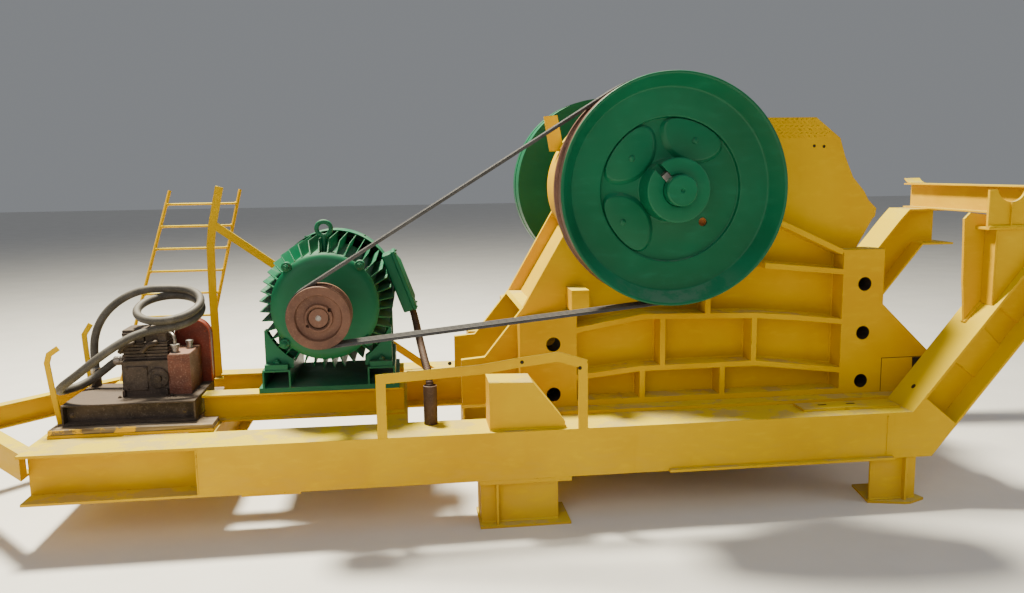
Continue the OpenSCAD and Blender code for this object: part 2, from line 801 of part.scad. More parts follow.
// Side view of a hopper cheek, which stands on the side plate's top edge
hopper_view = [
    [330, seat_z], [330, axis_z + 346], [897, axis_z + 346], [1031, axis_z + 240],
    [1061, axis_z + 147], [1109, axis_z + 39], [1174, axis_z - 35], [1200, axis_z - 82],
    [1245, axis_z - 125], [1240, axis_z - 165], [1225, axis_z - 180], [1142, axis_z - 329],
    top_edge[2], top_edge[1], top_edge[0]];

module hopper_cheeks() {
    color(yellow) at() {
        side_slab(-side_out, -side_out + cheek_t) polygon(hopper_view);
        side_slab(side_out - cheek_t, side_out) polygon(hopper_view);
    }
}
cheek_t = 12;

// Low back wall of the hopper, which starts at the end of the round cover
module hopper_back() {
    c = [cos(cover_a0 - 0.03), sin(cover_a0 - 0.03)];
    color(yellow) at(0, 0, axis_z) side_slab(-side_out + cheek_t, side_out - cheek_t)
        polygon([c * (cover_r - cover_t), c * cover_r, [330, 322], [330, 346], [342, 346], [342, 312]]);
}

lip_slope = 50;
back_depth = 60;
pad_angles = [67.5, 140, 215.5];
pad_r = 167;
pad_x = 314;
// Side profile of a flywheel from the shaft outwards, with its outer face up
module wheel_profile(grooves) {
    hub_face = wheel_w + hub_out;
    difference() {
        union() {
            square([wheel_d / 2, wheel_w]);
            square([hub_d / 2, hub_face]);
        }
        translate([groove_d / 2, -1]) square([wheel_d, wheel_w - 78 + 1]);
        polygon([[hub_d / 2, wheel_w - dish_depth], [wheel_d / 2 - lip_w - lip_slope, wheel_w - dish_depth],
                 [wheel_d / 2 - lip_w, wheel_w + lap], [hub_d / 2, wheel_w + lap]]);
        translate([hub_d / 2, wheel_w - dish_depth - recess_depth])
            square([recess_d / 2 - hub_d / 2, recess_depth + lap]);
        translate([hub_d / 2, -1]) square([back_r - hub_d / 2, back_depth + 1]);
        translate([-1, -1]) square([shaft_d / 2 + 1, hub_face + 2]);
        if (grooves) translate([groove_d / 2, belt_y - wheel_in]) groove_row();
    }
}

// Near flywheel with three lens-shaped pads in its recess
module near_flywheel() {
    color(green) at(0, -wheel_in, axis_z) rotate([90, 0, 0]) {
        rotate_extrude($fn = 96) wheel_profile(true);
        translate([0, 0, wheel_w - dish_depth - recess_depth - lap])
            for (a = pad_angles) rotate(a) linear_extrude(recess_depth + lap) intersection() {
                circle(r = recess_d / 2 - 2);
                translate([pad_x, 0]) circle(r = pad_r);
            }
    }
}

module far_flywheel() {
    color(green) at(0, wheel_in, axis_z) rotate([-90, 0, 0])
        rotate_extrude($fn = 96) wheel_profile(false);
}

module eccentric_shaft() {
    reach = wheel_y + hub_out + shaft_out;
    color([0.5, 0.5, 0.48]) at(0, reach, axis_z) rotate([90, 0, 0]) cylinder(h = 2 * reach, d = shaft_d);
}

bar_t = 10;
bar_h = 45;
guard_path = [[-893, 0], [-700, 27], [-528, 46], [-392, 3]];
// Flat-bar bracket of the belt guard on the near beam
module guard_bracket() {
    bar_z = axis_z - 777;
    left = -1366;
    right = guard_path[len(guard_path) - 1][0];
    color(yellow) at() {
        side_slab(-half_w, -half_w + bar_t) translate([0, bar_z])
            polygon(strip(concat([[left, -27]], guard_path), -bar_h));
        block([left, -half_w, beam_top], [left + bar_h, -half_w + bar_t, bar_z - 40]);
        block([right - bar_h, -half_w, beam_top], [right, -half_w + bar_t, bar_z - 10]);
    }
}

// Wedge-shaped pedestal on each main beam
module wedge_pedestals() {
    outer = half_w - 30;
    inner = beam_in + 20;
    color(yellow) for (s = [-1, 1])
        at() side_slab(min(s * outer, s * inner), max(s * outer, s * inner))
            polygon([[-850, beam_top], [-850, beam_top + 228], [-645, beam_top + 222],
                     [-495, beam_top + 30], [-495, beam_top]]);
}

ladder_y = [600, 860];
ladder_x = [-2905, -2622];
ladder_top = axis_z + 6;
ladder_taper = 49;
ladder_n = 8;
rung_d = 14;
// Round rod between two points
module rod(a, b, d) {
    v = b - a;
    translate(a) rotate([0, acos(v[2] / norm(v)), atan2(v[1], v[0])]) cylinder(h = norm(v), d = d);
}
// Point on a ladder stringer, from 0 at its foot to 1 at its head
function stringer(side, t) =
    [ladder_x[0] + (ladder_x[1] - ladder_x[0]) * t + side * (ladder_w + ladder_taper * (1 - t)),
     ladder_y[0] + (ladder_y[1] - ladder_y[0]) * t, beam_top + (ladder_top - beam_top) * t];

// Ladder that stands on the far main beam and leans outwards
module ladder() {
    rise = rung_step / (ladder_top - beam_top);
    color(yellow) at() difference() {
        union() {
            for (side = [0, 1]) rod(stringer(side, -0.03), stringer(side, 1), ladder_rod, $fn = 12);
            for (i = [0:ladder_n - 1])
                rod(stringer(0, 0.925 - i * rise), stringer(1, 0.925 - i * rise), rung_d, $fn = 12);
        }
        block([-3100, 400, 0], [-2300, 800, beam_top]);
    }
}

post_y = 600;
post_path = [[-2372, beam_top], [-2376, axis_z - 589], [-2371, axis_z - 317], [-2355, axis_z - 200],
             [-2301, axis_z + 33]];
// Bent angle-bar post with a slanted flat brace, both on the far main beam
module guard_post() {
    color(yellow) at() {
        side_slab(post_y, post_y + 8) {
            polygon(strip(post_path, -post_w));
            polygon([[-2345, axis_z - 147], [-2345, axis_z - 204], [-1132, beam_top], [-1060, beam_top]]);
        }
        side_slab(post_y, post_y + 42) polygon(strip(post_path, -8));
    }
}

deck_x = -2880;
deck_y = -beam_in + 1;
deck_end = -2222;
first_plank_more = 85;
deck_n = 5;
plank_gap = 4;
deck_top = beam_top + deck_t + plank_t;
// Steel plate under the planks, between the main beams, on the two left cross beams
module deck_plate() {
    color(yellow) at(0, 0, beam_top) linear_extrude(deck_t)
        polygon([[deck_x, deck_y], [deck_end + first_plank_more, deck_y],
                 [deck_end + first_plank_more, deck_y + plank_w], [deck_end, deck_y + plank_w],
                 [deck_end, deck_y + deck_w], [deck_x, deck_y + deck_w]]);
}
deck_w = deck_n * (plank_w + plank_gap) - plank_gap;

module deck_planks() {
    color([0.5, 0.42, 0.32]) at(0, 0, beam_top + deck_t) for (i = [0:deck_n - 1])
        translate([deck_x, deck_y + i * (plank_w + plank_gap), 0])
            cube([deck_end - deck_x + (i == 0 ? first_plank_more : 0), plank_w, plank_t]);
}

stand_x = deck_end - 5 - stand_l;
stand_y = -490;
stand_w = 420;
stand_t = 8;
// Stand of two channels and two end plates under a top plate, open to the front
module unit_stand() {
    channel_b = 60;
    color([0.25, 0.22, 0.2]) at(stand_x, stand_y, deck_top) {
        cube([stand_l, channel_b, stand_t]);
        for (y = [channel_b - stand_t, stand_w - stand_t])
            translate([0, y, 0]) cube([stand_l, stand_t, stand_h]);
        translate([0, 0, stand_h - stand_t]) cube([stand_l, stand_w, stand_t]);
        for (x = [0, stand_l - stand_t]) translate([x, 0, 0]) cube([stand_t, stand_w, stand_h]);
    }
    color([0.25, 0.22, 0.2]) at(tail_end[0], tail_end[1], unit_top - lap)
        cylinder(h = port_l + lap, d = port_d);
}

unit_top = deck_top + stand_h;
unit_x = -2592;
unit_y = -350;
port_l = 50;
port_d = 50;
block_size = [215, 250, 170];
head_size = [97, 150, 148];
// Small two-cylinder unit with finned heads
module unit_block() {
    fin = [5, 10, 6];
    color([0.3, 0.25, 0.2]) at(unit_x, unit_y, unit_top) {
        cube(block_size);
        for (x = [6, 112]) translate([x, 30, block_size[2]]) {
            cube(head_size);
            for (i = [0:4]) translate([-fin[0], -fin[1], 8 + i * 16])
                cube([head_size[0] + 2 * fin[0], head_size[1] + 2 * fin[1], fin[2]]);
        }
    }
    color([0.3, 0.25, 0.2]) at(unit_x + lap, run_route[0][1], run_route[0][2]) rotate([0, -90, 0])
        cylinder(h = port_l + lap, d = port_d);
}

// Rings of a tube that follows a path; ref is a direction that the path never runs along
function along(p, i) = let (v = p[min(i + 1, len(p) - 1)] - p[max(i - 1, 0)]) v / norm(v);
function ring(p, i, d, ref, n) =
    let (t = along(p, i), c = cross(ref, t), a = c / norm(c), b = cross(t, a))
    [for (k = [0:n - 1]) p[i] + d / 2 * (cos(k * 360 / n) * a + sin(k * 360 / n) * b)];
module tube(p, d, ref, n = 10) {
    last = (len(p) - 1) * n;
    polyhedron(
        [for (i = [0:len(p) - 1]) each ring(p, i, d, ref, n)],
        concat([[for (k = [0:n - 1]) k]], [[for (k = [n - 1:-1:0]) last + k]],
            [for (i = [0:len(p) - 2], k = [0:n - 1])
                [(i + 1) * n + k, (i + 1) * n + (k + 1) % n, i * n + (k + 1) % n, i * n + k]]));
}

// The hose leaves the block, turns round beside the stand, climbs to the coil and comes down behind it
run_route = [
    [-2645, -145, 735], [-2685, -145, 730], [-2740, -147, 690], [-2795, -160, 650], [-2845, -195, 626],
    [-2880, -245, 621], [-2893, -305, 628], [-2877, -368, 650], [-2835, -420, 684], [-2775, -448, 726],
    [-2710, -455, 775], [-2645, -450, 823], [-2580, -430, 866], [-2520, -398, 898], [-2455, -366, 917],
    [-2385, -351, 926]];
tail_route = [
    [-2385, -89, 1085], [-2445, -88, 1089], [-2510, -88, 1087], [-2570, -88, 1075], [-2630, -89, 1050],
    [-2685, -90, 1014], [-2732, -92, 968], [-2768, -93, 912], [-2790, -95, 850], [-2799, -95, 785],
    [-2800, -95, 720], [-2800, -95, 650.3]];
tail_end = tail_route[len(tail_route) - 1];
coil_at = [-2385, -220, 1008];
coil_r = 150;
coil_tilt = 20;
coil_rise = 60;

module hose_run() {
    color(hose_grey) at() tube(run_route, hose_d, [0, 0, 1]);
}

module hose_tail() {
    color(hose_grey) at() tube(tail_route, hose_d, [0, 1, 0]);
}

// Outer shape of the turns that lie on the unit's heads
module hose_coil() {
    color(hose_grey) at() translate(coil_at) rotate([coil_tilt, 0, 0]) rotate_extrude() {
        translate([coil_r - hose_d / 2, -coil_rise / 2]) square([hose_d, coil_rise]);
        for (z = [-coil_rise / 2, coil_rise / 2]) translate([coil_r, z]) circle(d = hose_d);
    }
}
hose_grey = [0.35, 0.34, 0.32];

// Bent flat bars that stand on the deck at the left end of the stand
module deck_bars() {
    bar_w = 25;
    bar_t = 8;
    color(yellow) at() {
        side_slab(-455, -455 + bar_t)
            polygon(strip([[-2841, 878], [-2887, 847], [-2902, 800], [-2888, 665], [-2865, deck_top]],
                          bar_w));
        side_slab(-60, -60 + bar_t)
            polygon(strip([[-2830, 920], [-2868, 862], [-2866, 800], [-2858, 665], [-2850, deck_top]],
                          bar_w));
    }
}

pipe_d = 66;
pipe_top = 650;
conduit_route = [
    [-1189, -111, 944], [-1181, -113, 920], [-1174, -128, 888], [-1167, -162, 855], [-1160, -225, 822],
    [-1152, -305, 792], [-1144, -385, 765], [-1136, -455, 738], [-1127, -520, 711], [-1121, -568, 679],
    [-1118, -590, 635]];
conduit_end = conduit_route[len(conduit_route) - 1];
// Flexible conduit from the terminal box into a pipe that stands on the near main beam
module motor_conduit() {
    color(rust) {
        at() tube(conduit_route, hose_d, [1, 0, 0]);
        at(conduit_end[0], conduit_end[1], beam_top) cylinder(h = pipe_top - beam_top, d = pipe_d);
    }
}

// Splice plate on each main beam, and a patch under the near one
module beam_plates() {
    plate_w = 120;
    plate_y = beam_in + 85;
    thin_t = 10;
    color(yellow) {
        for (s = [-1, 1]) at(712, s * plate_y - plate_w / 2, beam_top) cube([506, plate_w, thin_t]);
        at(-1980, -half_w + 2, foot_h - thin_t) cube([262, plate_w, thin_t]);
    }
}

module unit_box() {
    color([0.43, 0.23, 0.17]) at(unit_x + block_size[0] + lap, unit_y, unit_top) cube([104, 240, 194]);
}

// Belt guard of the unit, a flat case with a round top
module unit_guard() {
    case = [172, 60, 240];
    color([0.5, 0.1, 0.08]) at(-2400, unit_y + block_size[1] + lap, unit_top) {
        cube(case);
        translate([case[0] / 2, case[1], case[2]]) rotate([90, 0, 0]) cylinder(h = case[1], r = case[0] / 2);
    }
}

near_main_beam();
far_main_beam();
near_gooseneck();
far_gooseneck();
top_cross_beam();
frame_cross_beams();
drawbar();
towing_eye();
middle_feet();
end_feet();
saddle_bracket();
saddle_post();
motor_rails();
motor_slide_base();
motor_barrel();
motor_end_shields();
motor_fan_cover();
motor_feet();
motor_terminal_box();
motor_lifting_eye();
motor_shaft();
motor_pulley();
drive_belts();
near_side_frame();
far_side_frame();
front_wall();
rear_wall();
toggle_block();
fixed_jaw_plate();
swing_jaw();
swing_jaw_plate();
toggle_plate();
tension_rod();
bearing_housings();
shaft_cover();
cover_bracket();
hopper_cheeks();
hopper_back();
near_flywheel();
far_flywheel();
eccentric_shaft();
guard_bracket();
wedge_pedestals();
ladder();
guard_post();
unit_stand();
unit_block();
unit_box();
unit_guard();
deck_planks();
deck_plate();
crusher_skids();
beam_plates();
deck_bars();
motor_conduit();
hose_run();
hose_coil();
hose_tail();
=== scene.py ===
import json
import random
from math import acos, atan2, cos, pi, radians, sin, tan

import bmesh
import bpy
from mathutils import Matrix, Vector


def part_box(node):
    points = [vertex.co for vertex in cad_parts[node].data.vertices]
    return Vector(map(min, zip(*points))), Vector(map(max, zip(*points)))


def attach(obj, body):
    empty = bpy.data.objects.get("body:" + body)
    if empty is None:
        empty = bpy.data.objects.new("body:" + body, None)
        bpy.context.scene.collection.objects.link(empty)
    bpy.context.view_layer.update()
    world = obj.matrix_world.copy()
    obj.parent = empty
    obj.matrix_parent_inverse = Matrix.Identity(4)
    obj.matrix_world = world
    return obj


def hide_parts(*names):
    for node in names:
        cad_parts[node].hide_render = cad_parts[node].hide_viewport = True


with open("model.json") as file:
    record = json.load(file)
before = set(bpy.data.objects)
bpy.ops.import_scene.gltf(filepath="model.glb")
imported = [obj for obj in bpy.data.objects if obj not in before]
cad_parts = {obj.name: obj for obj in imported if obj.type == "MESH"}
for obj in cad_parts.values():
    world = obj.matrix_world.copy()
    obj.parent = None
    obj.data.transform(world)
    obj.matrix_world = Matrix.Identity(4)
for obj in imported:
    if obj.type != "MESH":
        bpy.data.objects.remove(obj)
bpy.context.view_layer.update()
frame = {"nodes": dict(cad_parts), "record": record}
chance = random.Random(7)

UP = Vector((0, 0, 1))
RIGHT = Vector((1, 0, 0))
NEAR = Vector((0, -1, 0))
FAR = Vector((0, 1, 0))


def middle_of(node, letter):
    """Middle of a CAD node's box along one axis."""
    return sum(getattr(corner, letter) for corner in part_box(node)) / 2


# Machine places, in metres in the frame
SHAFT_X = middle_of("eccentric_shaft", "x")
SHAFT_Z = middle_of("eccentric_shaft", "z")
SHAFT = Vector((SHAFT_X, 0, SHAFT_Z))
MOTOR = Vector((middle_of("motor_pulley", "x"), 0, middle_of("motor_pulley", "z")))
BEAM_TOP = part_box("near_main_beam")[1].z
SIDE_FACE = 0.34    # outer faces of the side plates, from the middle
RIB_FACE = 0.455    # outer faces of the side frames' ribs
FLANGE_EDGE = 0.79  # outer edges of the main beams' flanges
NECK_WEB = 0.68     # middles of the goose-necks' webs
NECK_FOOT = 1.23    # where the goose-necks' flanges leave the beams, from the shaft
NECK_ANGLE = radians(51)


def spot(x, y, z):
    """A point along the machine from the flywheel shaft, across it, and above the ground."""
    return Vector((SHAFT_X + x, y, z))


def ray(angle):
    """Unit vector square to the shaft, turned up from the right."""
    return Vector((cos(angle), 0, sin(angle)))


# Camera, floor and light

def placed(name, data):
    """New object in the scene."""
    made = bpy.data.objects.new(name, data)
    bpy.context.scene.collection.objects.link(made)
    return made


def add_camera():
    """The camera as it was solved from the photo."""
    yaw = 0.1201
    pitch = 0.1444
    roll = -0.0141
    level = Vector((cos(yaw), -sin(yaw), 0))
    ahead = Vector((sin(yaw), cos(yaw), 0))
    view = ahead * cos(pitch) - UP * sin(pitch)
    top = UP * cos(pitch) + ahead * sin(pitch)
    right = level * cos(roll) + top * sin(roll)
    above = top * cos(roll) - level * sin(roll)
    data = bpy.data.cameras.new("photo_camera")
    data.sensor_width = 36.0
    data.lens = 30.44
    data.clip_end = 100.0
    camera = placed("photo_camera", data)
    turn = Matrix((right, above, -view)).transposed().to_4x4()
    camera.matrix_world = Matrix.Translation(spot(-1.206, -4.637, 1.657)) @ turn
    bpy.context.scene.camera = camera


def add_area(name, place, target, size, power, tint):
    data = bpy.data.lights.new(name, "AREA")
    data.shape = "DISK"
    data.size = size
    data.energy = power
    data.color = tint
    lamp = placed(name, data)
    lamp.location = place
    lamp.rotation_euler = (Vector(target) - Vector(place)).to_track_quat("-Z", "Y").to_euler()


def add_light():
    """Warm key from above and behind, as the photo's sun, with soft fill from front and right."""
    add_area("key_light", (-2.4, 2.0, 8.6), (0.3, 0, 0.8), 1.5, 3200, (1.0, 0.94, 0.74))
    add_area("front_light", (-2.5, -7.5, 4.2), (0, 0, 0.9), 6.0, 215, (1.0, 0.98, 0.95))
    add_area("side_light", (7.0, -3.0, 3.5), (0.5, 0, 0.9), 4.0, 90, (0.92, 0.96, 1.0))
    world = bpy.data.worlds.new("studio")
    world.use_nodes = True
    sky = world.node_tree.nodes["Background"]
    sky.inputs["Color"].default_value = (0.86, 0.9, 0.95, 1)
    sky.inputs["Strength"].default_value = 0.26
    bpy.context.scene.world = world


# Node materials

class Paint:
    """Builds one material's nodes. Every pattern is laid out in metres in the part's own frame."""

    def __init__(self, name):
        self.material = bpy.data.materials.new(name)
        self.material.use_nodes = True
        self.tree = self.material.node_tree
        self.shader = self.tree.nodes["Principled BSDF"]
        self.place = self.node("ShaderNodeTexCoord").outputs["Object"]

    def node(self, kind, sockets=None, **settings):
        """New node with its settings, and values or links in its sockets."""
        made = self.tree.nodes.new(kind)
        for key, value in settings.items():
            setattr(made, key, value)
        for key, value in (sockets or {}).items():
            self.put(made.inputs[key], value)
        return made

    def put(self, socket, value):
        if isinstance(value, bpy.types.NodeSocket):
            self.tree.links.new(value, socket)
        elif isinstance(value, tuple) and len(value) == 3 and socket.type == "RGBA":
            socket.default_value = (*value, 1)
        else:
            socket.default_value = value

    def stretched(self, scale):
        return self.node("ShaderNodeMapping", {"Vector": self.place, "Scale": scale}).outputs["Vector"]

    def noise(self, scale, detail, rough=0.6, warp=0.0, vector=None):
        sockets = {"Vector": vector or self.place, "Scale": scale, "Detail": detail, "Roughness": rough,
                   "Distortion": warp}
        return self.node("ShaderNodeTexNoise", sockets).outputs["Fac"]

    def step(self, value, low, high, to_low=0.0, to_high=1.0):
        """Smooth step between two values, which may run downwards."""
        sockets = {"Value": value, "From Min": low, "From Max": high, "To Min": to_low, "To Max": to_high}
        return self.node("ShaderNodeMapRange", sockets, interpolation_type="SMOOTHSTEP").outputs["Result"]

    def math(self, operation, a, b):
        made = self.node("ShaderNodeMath", operation=operation)
        self.put(made.inputs[0], a)
        self.put(made.inputs[1], b)
        return made.outputs[0]

    def times(self, a, b):
        return self.math("MULTIPLY", a, b)

    def mix(self, factor, a, b):
        """Colour a, or b where the factor is 1."""
        made = self.node("ShaderNodeMix", data_type="RGBA")
        self.put(made.inputs[0], factor)
        self.put(made.inputs[6], a)
        self.put(made.inputs[7], b)
        return made.outputs[2]

    def axis(self, letter, source=None):
        """One coordinate of the place, or of another vector."""
        return self.node("ShaderNodeSeparateXYZ", {"Vector": source or self.place}).outputs[letter]

    def facing_up(self, low=0.55, high=0.95):
        """1 on faces that look up, where dust settles and where sunlight and highlights are painted."""
        normal = self.node("ShaderNodeNewGeometry").outputs["Normal"]
        return self.step(self.axis("Z", normal), low, high)

    def rounded(self, radius):
        """Normal with its sharp edges rounded."""
        return self.node("ShaderNodeBevel", {"Radius": radius}, samples=4).outputs["Normal"]

    def edges(self, radius):
        """1 along sharp edges, where paint wears."""
        soft = self.rounded(radius)
        hard = self.node("ShaderNodeNewGeometry").outputs["Normal"]
        made = self.node("ShaderNodeVectorMath", operation="DOT_PRODUCT")
        self.put(made.inputs[0], soft)
        self.put(made.inputs[1], hard)
        return self.step(made.outputs["Value"], 0.995, 0.86)

    def bump(self, height, distance, strength, under=None):
        sockets = {"Height": height, "Distance": distance, "Strength": strength}
        if under:
            sockets["Normal"] = under
        return self.node("ShaderNodeBump", sockets).outputs["Normal"]

    def finish(self, **sockets):
        """Fills the shader's sockets and gives the material."""
        names = {"color": "Base Color", "rough": "Roughness", "metal": "Metallic", "normal": "Normal",
                 "gloss": "Specular IOR Level"}
        for key, value in sockets.items():
            self.put(self.shader.inputs[names[key]], value)
        return self.material


RUST_DARK = (0.07, 0.026, 0.013)
RUST_LIGHT = (0.2, 0.08, 0.03)

# Colours main, pale, deep, painted sunlight on top faces and dust, then the dust's share, where rust starts,
# roughness, gloss
ENAMELS = {
    "yellow_paint": ((0.62, 0.37, 0.0), (0.74, 0.49, 0.0), (0.54, 0.29, 0.0), (0.71, 0.56, 0.005),
                     (0.42, 0.33, 0.16), 0.65, 0.745, 0.5, 0.08),
    "green_paint": ((0.0025, 0.115, 0.048), (0.008, 0.16, 0.08), (0.0015, 0.08, 0.03),
                    (0.006, 0.15, 0.07), (0.14, 0.19, 0.15), 0.55, 0.78, 0.38, 0.25)}

# Colours main, deep and pale (pale also paints a highlight on faces that look up), then roughness, metal and
# the grain's scale where they differ
RUSTY = {
    "worn_pulley": ((0.15, 0.066, 0.038), (0.085, 0.038, 0.024), (0.25, 0.14, 0.09), 0.7, 0.1),
    "bare_steel": ((0.34, 0.31, 0.28), (0.22, 0.18, 0.15), (0.55, 0.52, 0.48), 0.45, 0.8),
    "belt_rubber": ((0.045, 0.042, 0.042), (0.025, 0.023, 0.022), (0.2, 0.185, 0.175), 0.6, 0.0, 60.0),
    "jaw_steel": ((0.16, 0.13, 0.11), (0.08, 0.06, 0.045), (0.3, 0.26, 0.22), 0.6, 0.6),
    "rough_casting": ((0.2, 0.13, 0.08), (0.1, 0.06, 0.035), (0.34, 0.26, 0.19)),
    "brown_unit": ((0.075, 0.05, 0.037), (0.03, 0.021, 0.016), (0.2, 0.155, 0.12), 0.7, 0.15),
    "red_brown_box": ((0.17, 0.052, 0.03), (0.1, 0.034, 0.022), (0.42, 0.27, 0.19), 0.65, 0.0),
    "red_guard": ((0.19, 0.03, 0.018), (0.1, 0.02, 0.013), (0.32, 0.13, 0.09), 0.55, 0.0),
    "rusty_pipe": ((0.075, 0.038, 0.023), (0.035, 0.018, 0.012), (0.17, 0.1, 0.065), 0.75, 0.0),
    "hose_rubber": ((0.085, 0.076, 0.066), (0.045, 0.039, 0.033), (0.24, 0.215, 0.18), 0.7, 0.0, 60.0),
    "rusty_orange": ((0.35, 0.11, 0.02), (0.12, 0.04, 0.012), (0.5, 0.2, 0.05), 0.85, 0.0),
    # Holes, gaps and cuts: painted shade.
    "painted_gap_shade": ((0.02, 0.014, 0.009), (0.008, 0.006, 0.004), (0.06, 0.035, 0.018), 0.9, 0.0),
    "red_edge": ((0.42, 0.075, 0.03), (0.22, 0.035, 0.02), (0.6, 0.3, 0.2), 0.5, 0.0)}


def enamel(name, main, pale, deep, painted_sunlight, dust_tint, dust, rust_from, rough, gloss):
    """Brushed enamel: cloudy colour, runs, painted sunlight on faces that look up, settled dust, chipped
    edges and small rust spots.
    """
    p = Paint(name)
    cloud = p.noise(1.3, 4.0, 0.55)
    brush = p.noise(9.0, 6.0, 0.6, vector=p.stretched((1.0, 1.0, 3.2)))
    color = p.mix(p.step(cloud, 0.32, 0.68), deep, main)
    color = p.mix(p.times(p.step(brush, 0.5, 0.8), 0.3), color, pale)
    runs = p.noise(14.0, 3.0, 0.5, vector=p.stretched((1.0, 1.0, 0.06)))
    color = p.mix(p.times(p.step(runs, 0.58, 0.85), 0.3), color, deep)
    # Faces that look up take a paler, lemon colour: painted sunlight and highlight.
    color = p.mix(p.times(p.facing_up(0.3, 0.8), 0.8), color, painted_sunlight)
    low = p.step(p.math("ADD", p.axis("Z"), p.step(brush, 0.3, 0.7, -0.12, 0.12)), 0.42, 0.02)
    color = p.mix(p.times(low, 0.12), color, dust_tint)
    grime = p.step(p.noise(4.5, 8.0, 0.72), 0.46, 0.56)
    film = p.step(p.noise(2.2, 6.0, 0.6), 0.35, 0.75, 0.12, 0.45)
    settled = p.times(p.facing_up(), p.math("MAXIMUM", grime, film))
    color = p.mix(p.times(settled, dust), color, dust_tint)
    rust = p.mix(p.step(p.noise(60.0, 3.0), 0.35, 0.65), RUST_DARK, RUST_LIGHT)
    spots = p.step(p.noise(38.0, 9.0, 0.72, 0.4), rust_from, rust_from + 0.03)
    chips = p.times(p.edges(0.004), p.step(p.noise(21.0, 8.0, 0.75), 0.57, 0.61))
    worn = p.math("MAXIMUM", spots, chips)
    color = p.mix(worn, color, rust)
    surface = p.bump(brush, 0.0008, 0.5, p.rounded(0.003))
    surface = p.bump(p.noise(3.0, 2.0), 0.004, 0.35, surface)
    surface = p.bump(p.times(worn, -1.0), 0.0006, 0.7, surface)
    shine = p.math("ADD", p.step(brush, 0.3, 0.7, rough, rough + 0.12), p.times(settled, 0.35))
    return p.finish(color=color, rough=shine, normal=surface, gloss=gloss)


def rusty(name, main, deep, pale, rough=0.75, metal=0.35, grain=30.0):
    """Bare steel, iron or rubber with a rusty or dusty skin, and a painted highlight on faces that look up.
    """
    p = Paint(name)
    patch = p.noise(6.0, 8.0, 0.7, 0.3)
    fine = p.noise(grain * 4, 6.0, 0.7)
    color = p.mix(p.step(patch, 0.35, 0.68), deep, main)
    color = p.mix(p.times(p.step(fine, 0.5, 0.75), 0.6), color, pale)
    # Faces that look up take the pale colour: a painted highlight, as on the belts' upper runs.
    color = p.mix(p.times(p.facing_up(), 0.45), color, pale)
    surface = p.bump(fine, 0.0008, 0.6)
    surface = p.bump(p.noise(grain, 5.0), 0.0012, 0.4, surface)
    shine = p.step(patch, 0.3, 0.7, rough, rough - 0.2)
    return p.finish(color=color, rough=shine, metal=metal, normal=surface, gloss=0.3)


def wood():
    """Weathered planks, with splashes of yellow along the near edge of the deck."""
    p = Paint("weathered_wood")
    grain = p.noise(55.0, 8.0, 0.65, 0.6, p.stretched((0.06, 1.0, 1.0)))
    tone = p.noise(3.0, 4.0)
    color = p.mix(p.step(grain, 0.32, 0.68), (0.1, 0.068, 0.042), (0.34, 0.27, 0.19))
    color = p.mix(p.times(p.step(tone, 0.4, 0.7), 0.5), color, (0.2, 0.13, 0.075))
    splash = p.step(p.noise(7.0, 6.0, 0.7), 0.5, 0.54)
    near_edge = p.step(p.axis("Y"), -0.53, -0.545)
    color = p.mix(p.times(near_edge, splash), color, (0.72, 0.42, 0.01))
    return p.finish(color=color, rough=0.85, normal=p.bump(grain, 0.0025, 0.8), gloss=0.2)


def make_materials():
    """The record's slots, and finishes for details."""
    made = {name: enamel(name, *values) for name, values in ENAMELS.items()}
    made.update((name, rusty(name, *values)) for name, values in RUSTY.items())
    made["weathered_wood"] = wood()
    return made


def floor_material():
    p = Paint("studio_floor")
    color = p.mix(p.step(p.noise(2.0, 3.0), 0.3, 0.7), (0.72, 0.7, 0.67), (0.76, 0.74, 0.71))
    return p.finish(color=color, rough=0.8, gloss=0.2)


def add_floor():
    """Plain pale floor, far wider than the machine."""
    reach = 40.0
    corners = [(-reach, -reach, 0), (reach, -reach, 0), (reach, reach, 0), (-reach, reach, 0)]
    mesh = bpy.data.meshes.new("studio_floor")
    mesh.from_pydata(corners, [], [(0, 1, 2, 3)])
    mesh.materials.append(floor_material())
    placed("studio_floor", mesh)


def dress_frame():
    """Gives each CAD node the material of its slot in the record."""
    slots = {row["node"]: row["material_slot"] for row in frame["record"]["subparts"]}
    for name, node in frame["nodes"].items():
        node.data.materials.clear()
        node.data.materials.append(MATERIALS[slots[name]])


# Mesh helpers

def circle_points(centre, radius, steps, side, up, turn=0.0):
    """Points round a circle in the plane of side and up."""
    angles = [turn + 2 * pi * k / steps for k in range(steps)]
    return [centre + radius * (cos(a) * side + sin(a) * up) for a in angles]


def skin(bm, loops, ring=False):
    """Joins loops of points into a surface, which is a ring or else has caps at its ends."""
    rows = [[bm.verts.new(p) for p in loop] for loop in loops]
    count = len(rows[0])
    pairs = list(zip(rows, rows[1:]))
    if ring:
        pairs.append((rows[-1], rows[0]))
    for low, high in pairs:
        for k in range(count):
            bm.faces.new((low[k], low[(k + 1) % count], high[(k + 1) % count], high[k]))
    if not ring:
        bm.faces.new(rows[0][::-1])
        bm.faces.new(rows[-1])


def square_to(direction):
    """Two unit vectors square to a direction and to each other."""
    away = UP if abs(direction.z) < 0.9 else RIGHT
    side = away.cross(direction).normalized()
    return side, direction.cross(side).normalized()


def lathe(bm, profile, centre, axis, steps, turn=0.0):
    """Turns a profile of (radius, height along the axis) about an axis, with flat ends."""
    axis = axis.normalized()
    side, up = square_to(axis)
    skin(bm, [circle_points(centre + axis * h, max(r, 0.0004), steps, side, up, turn) for r, h in profile])


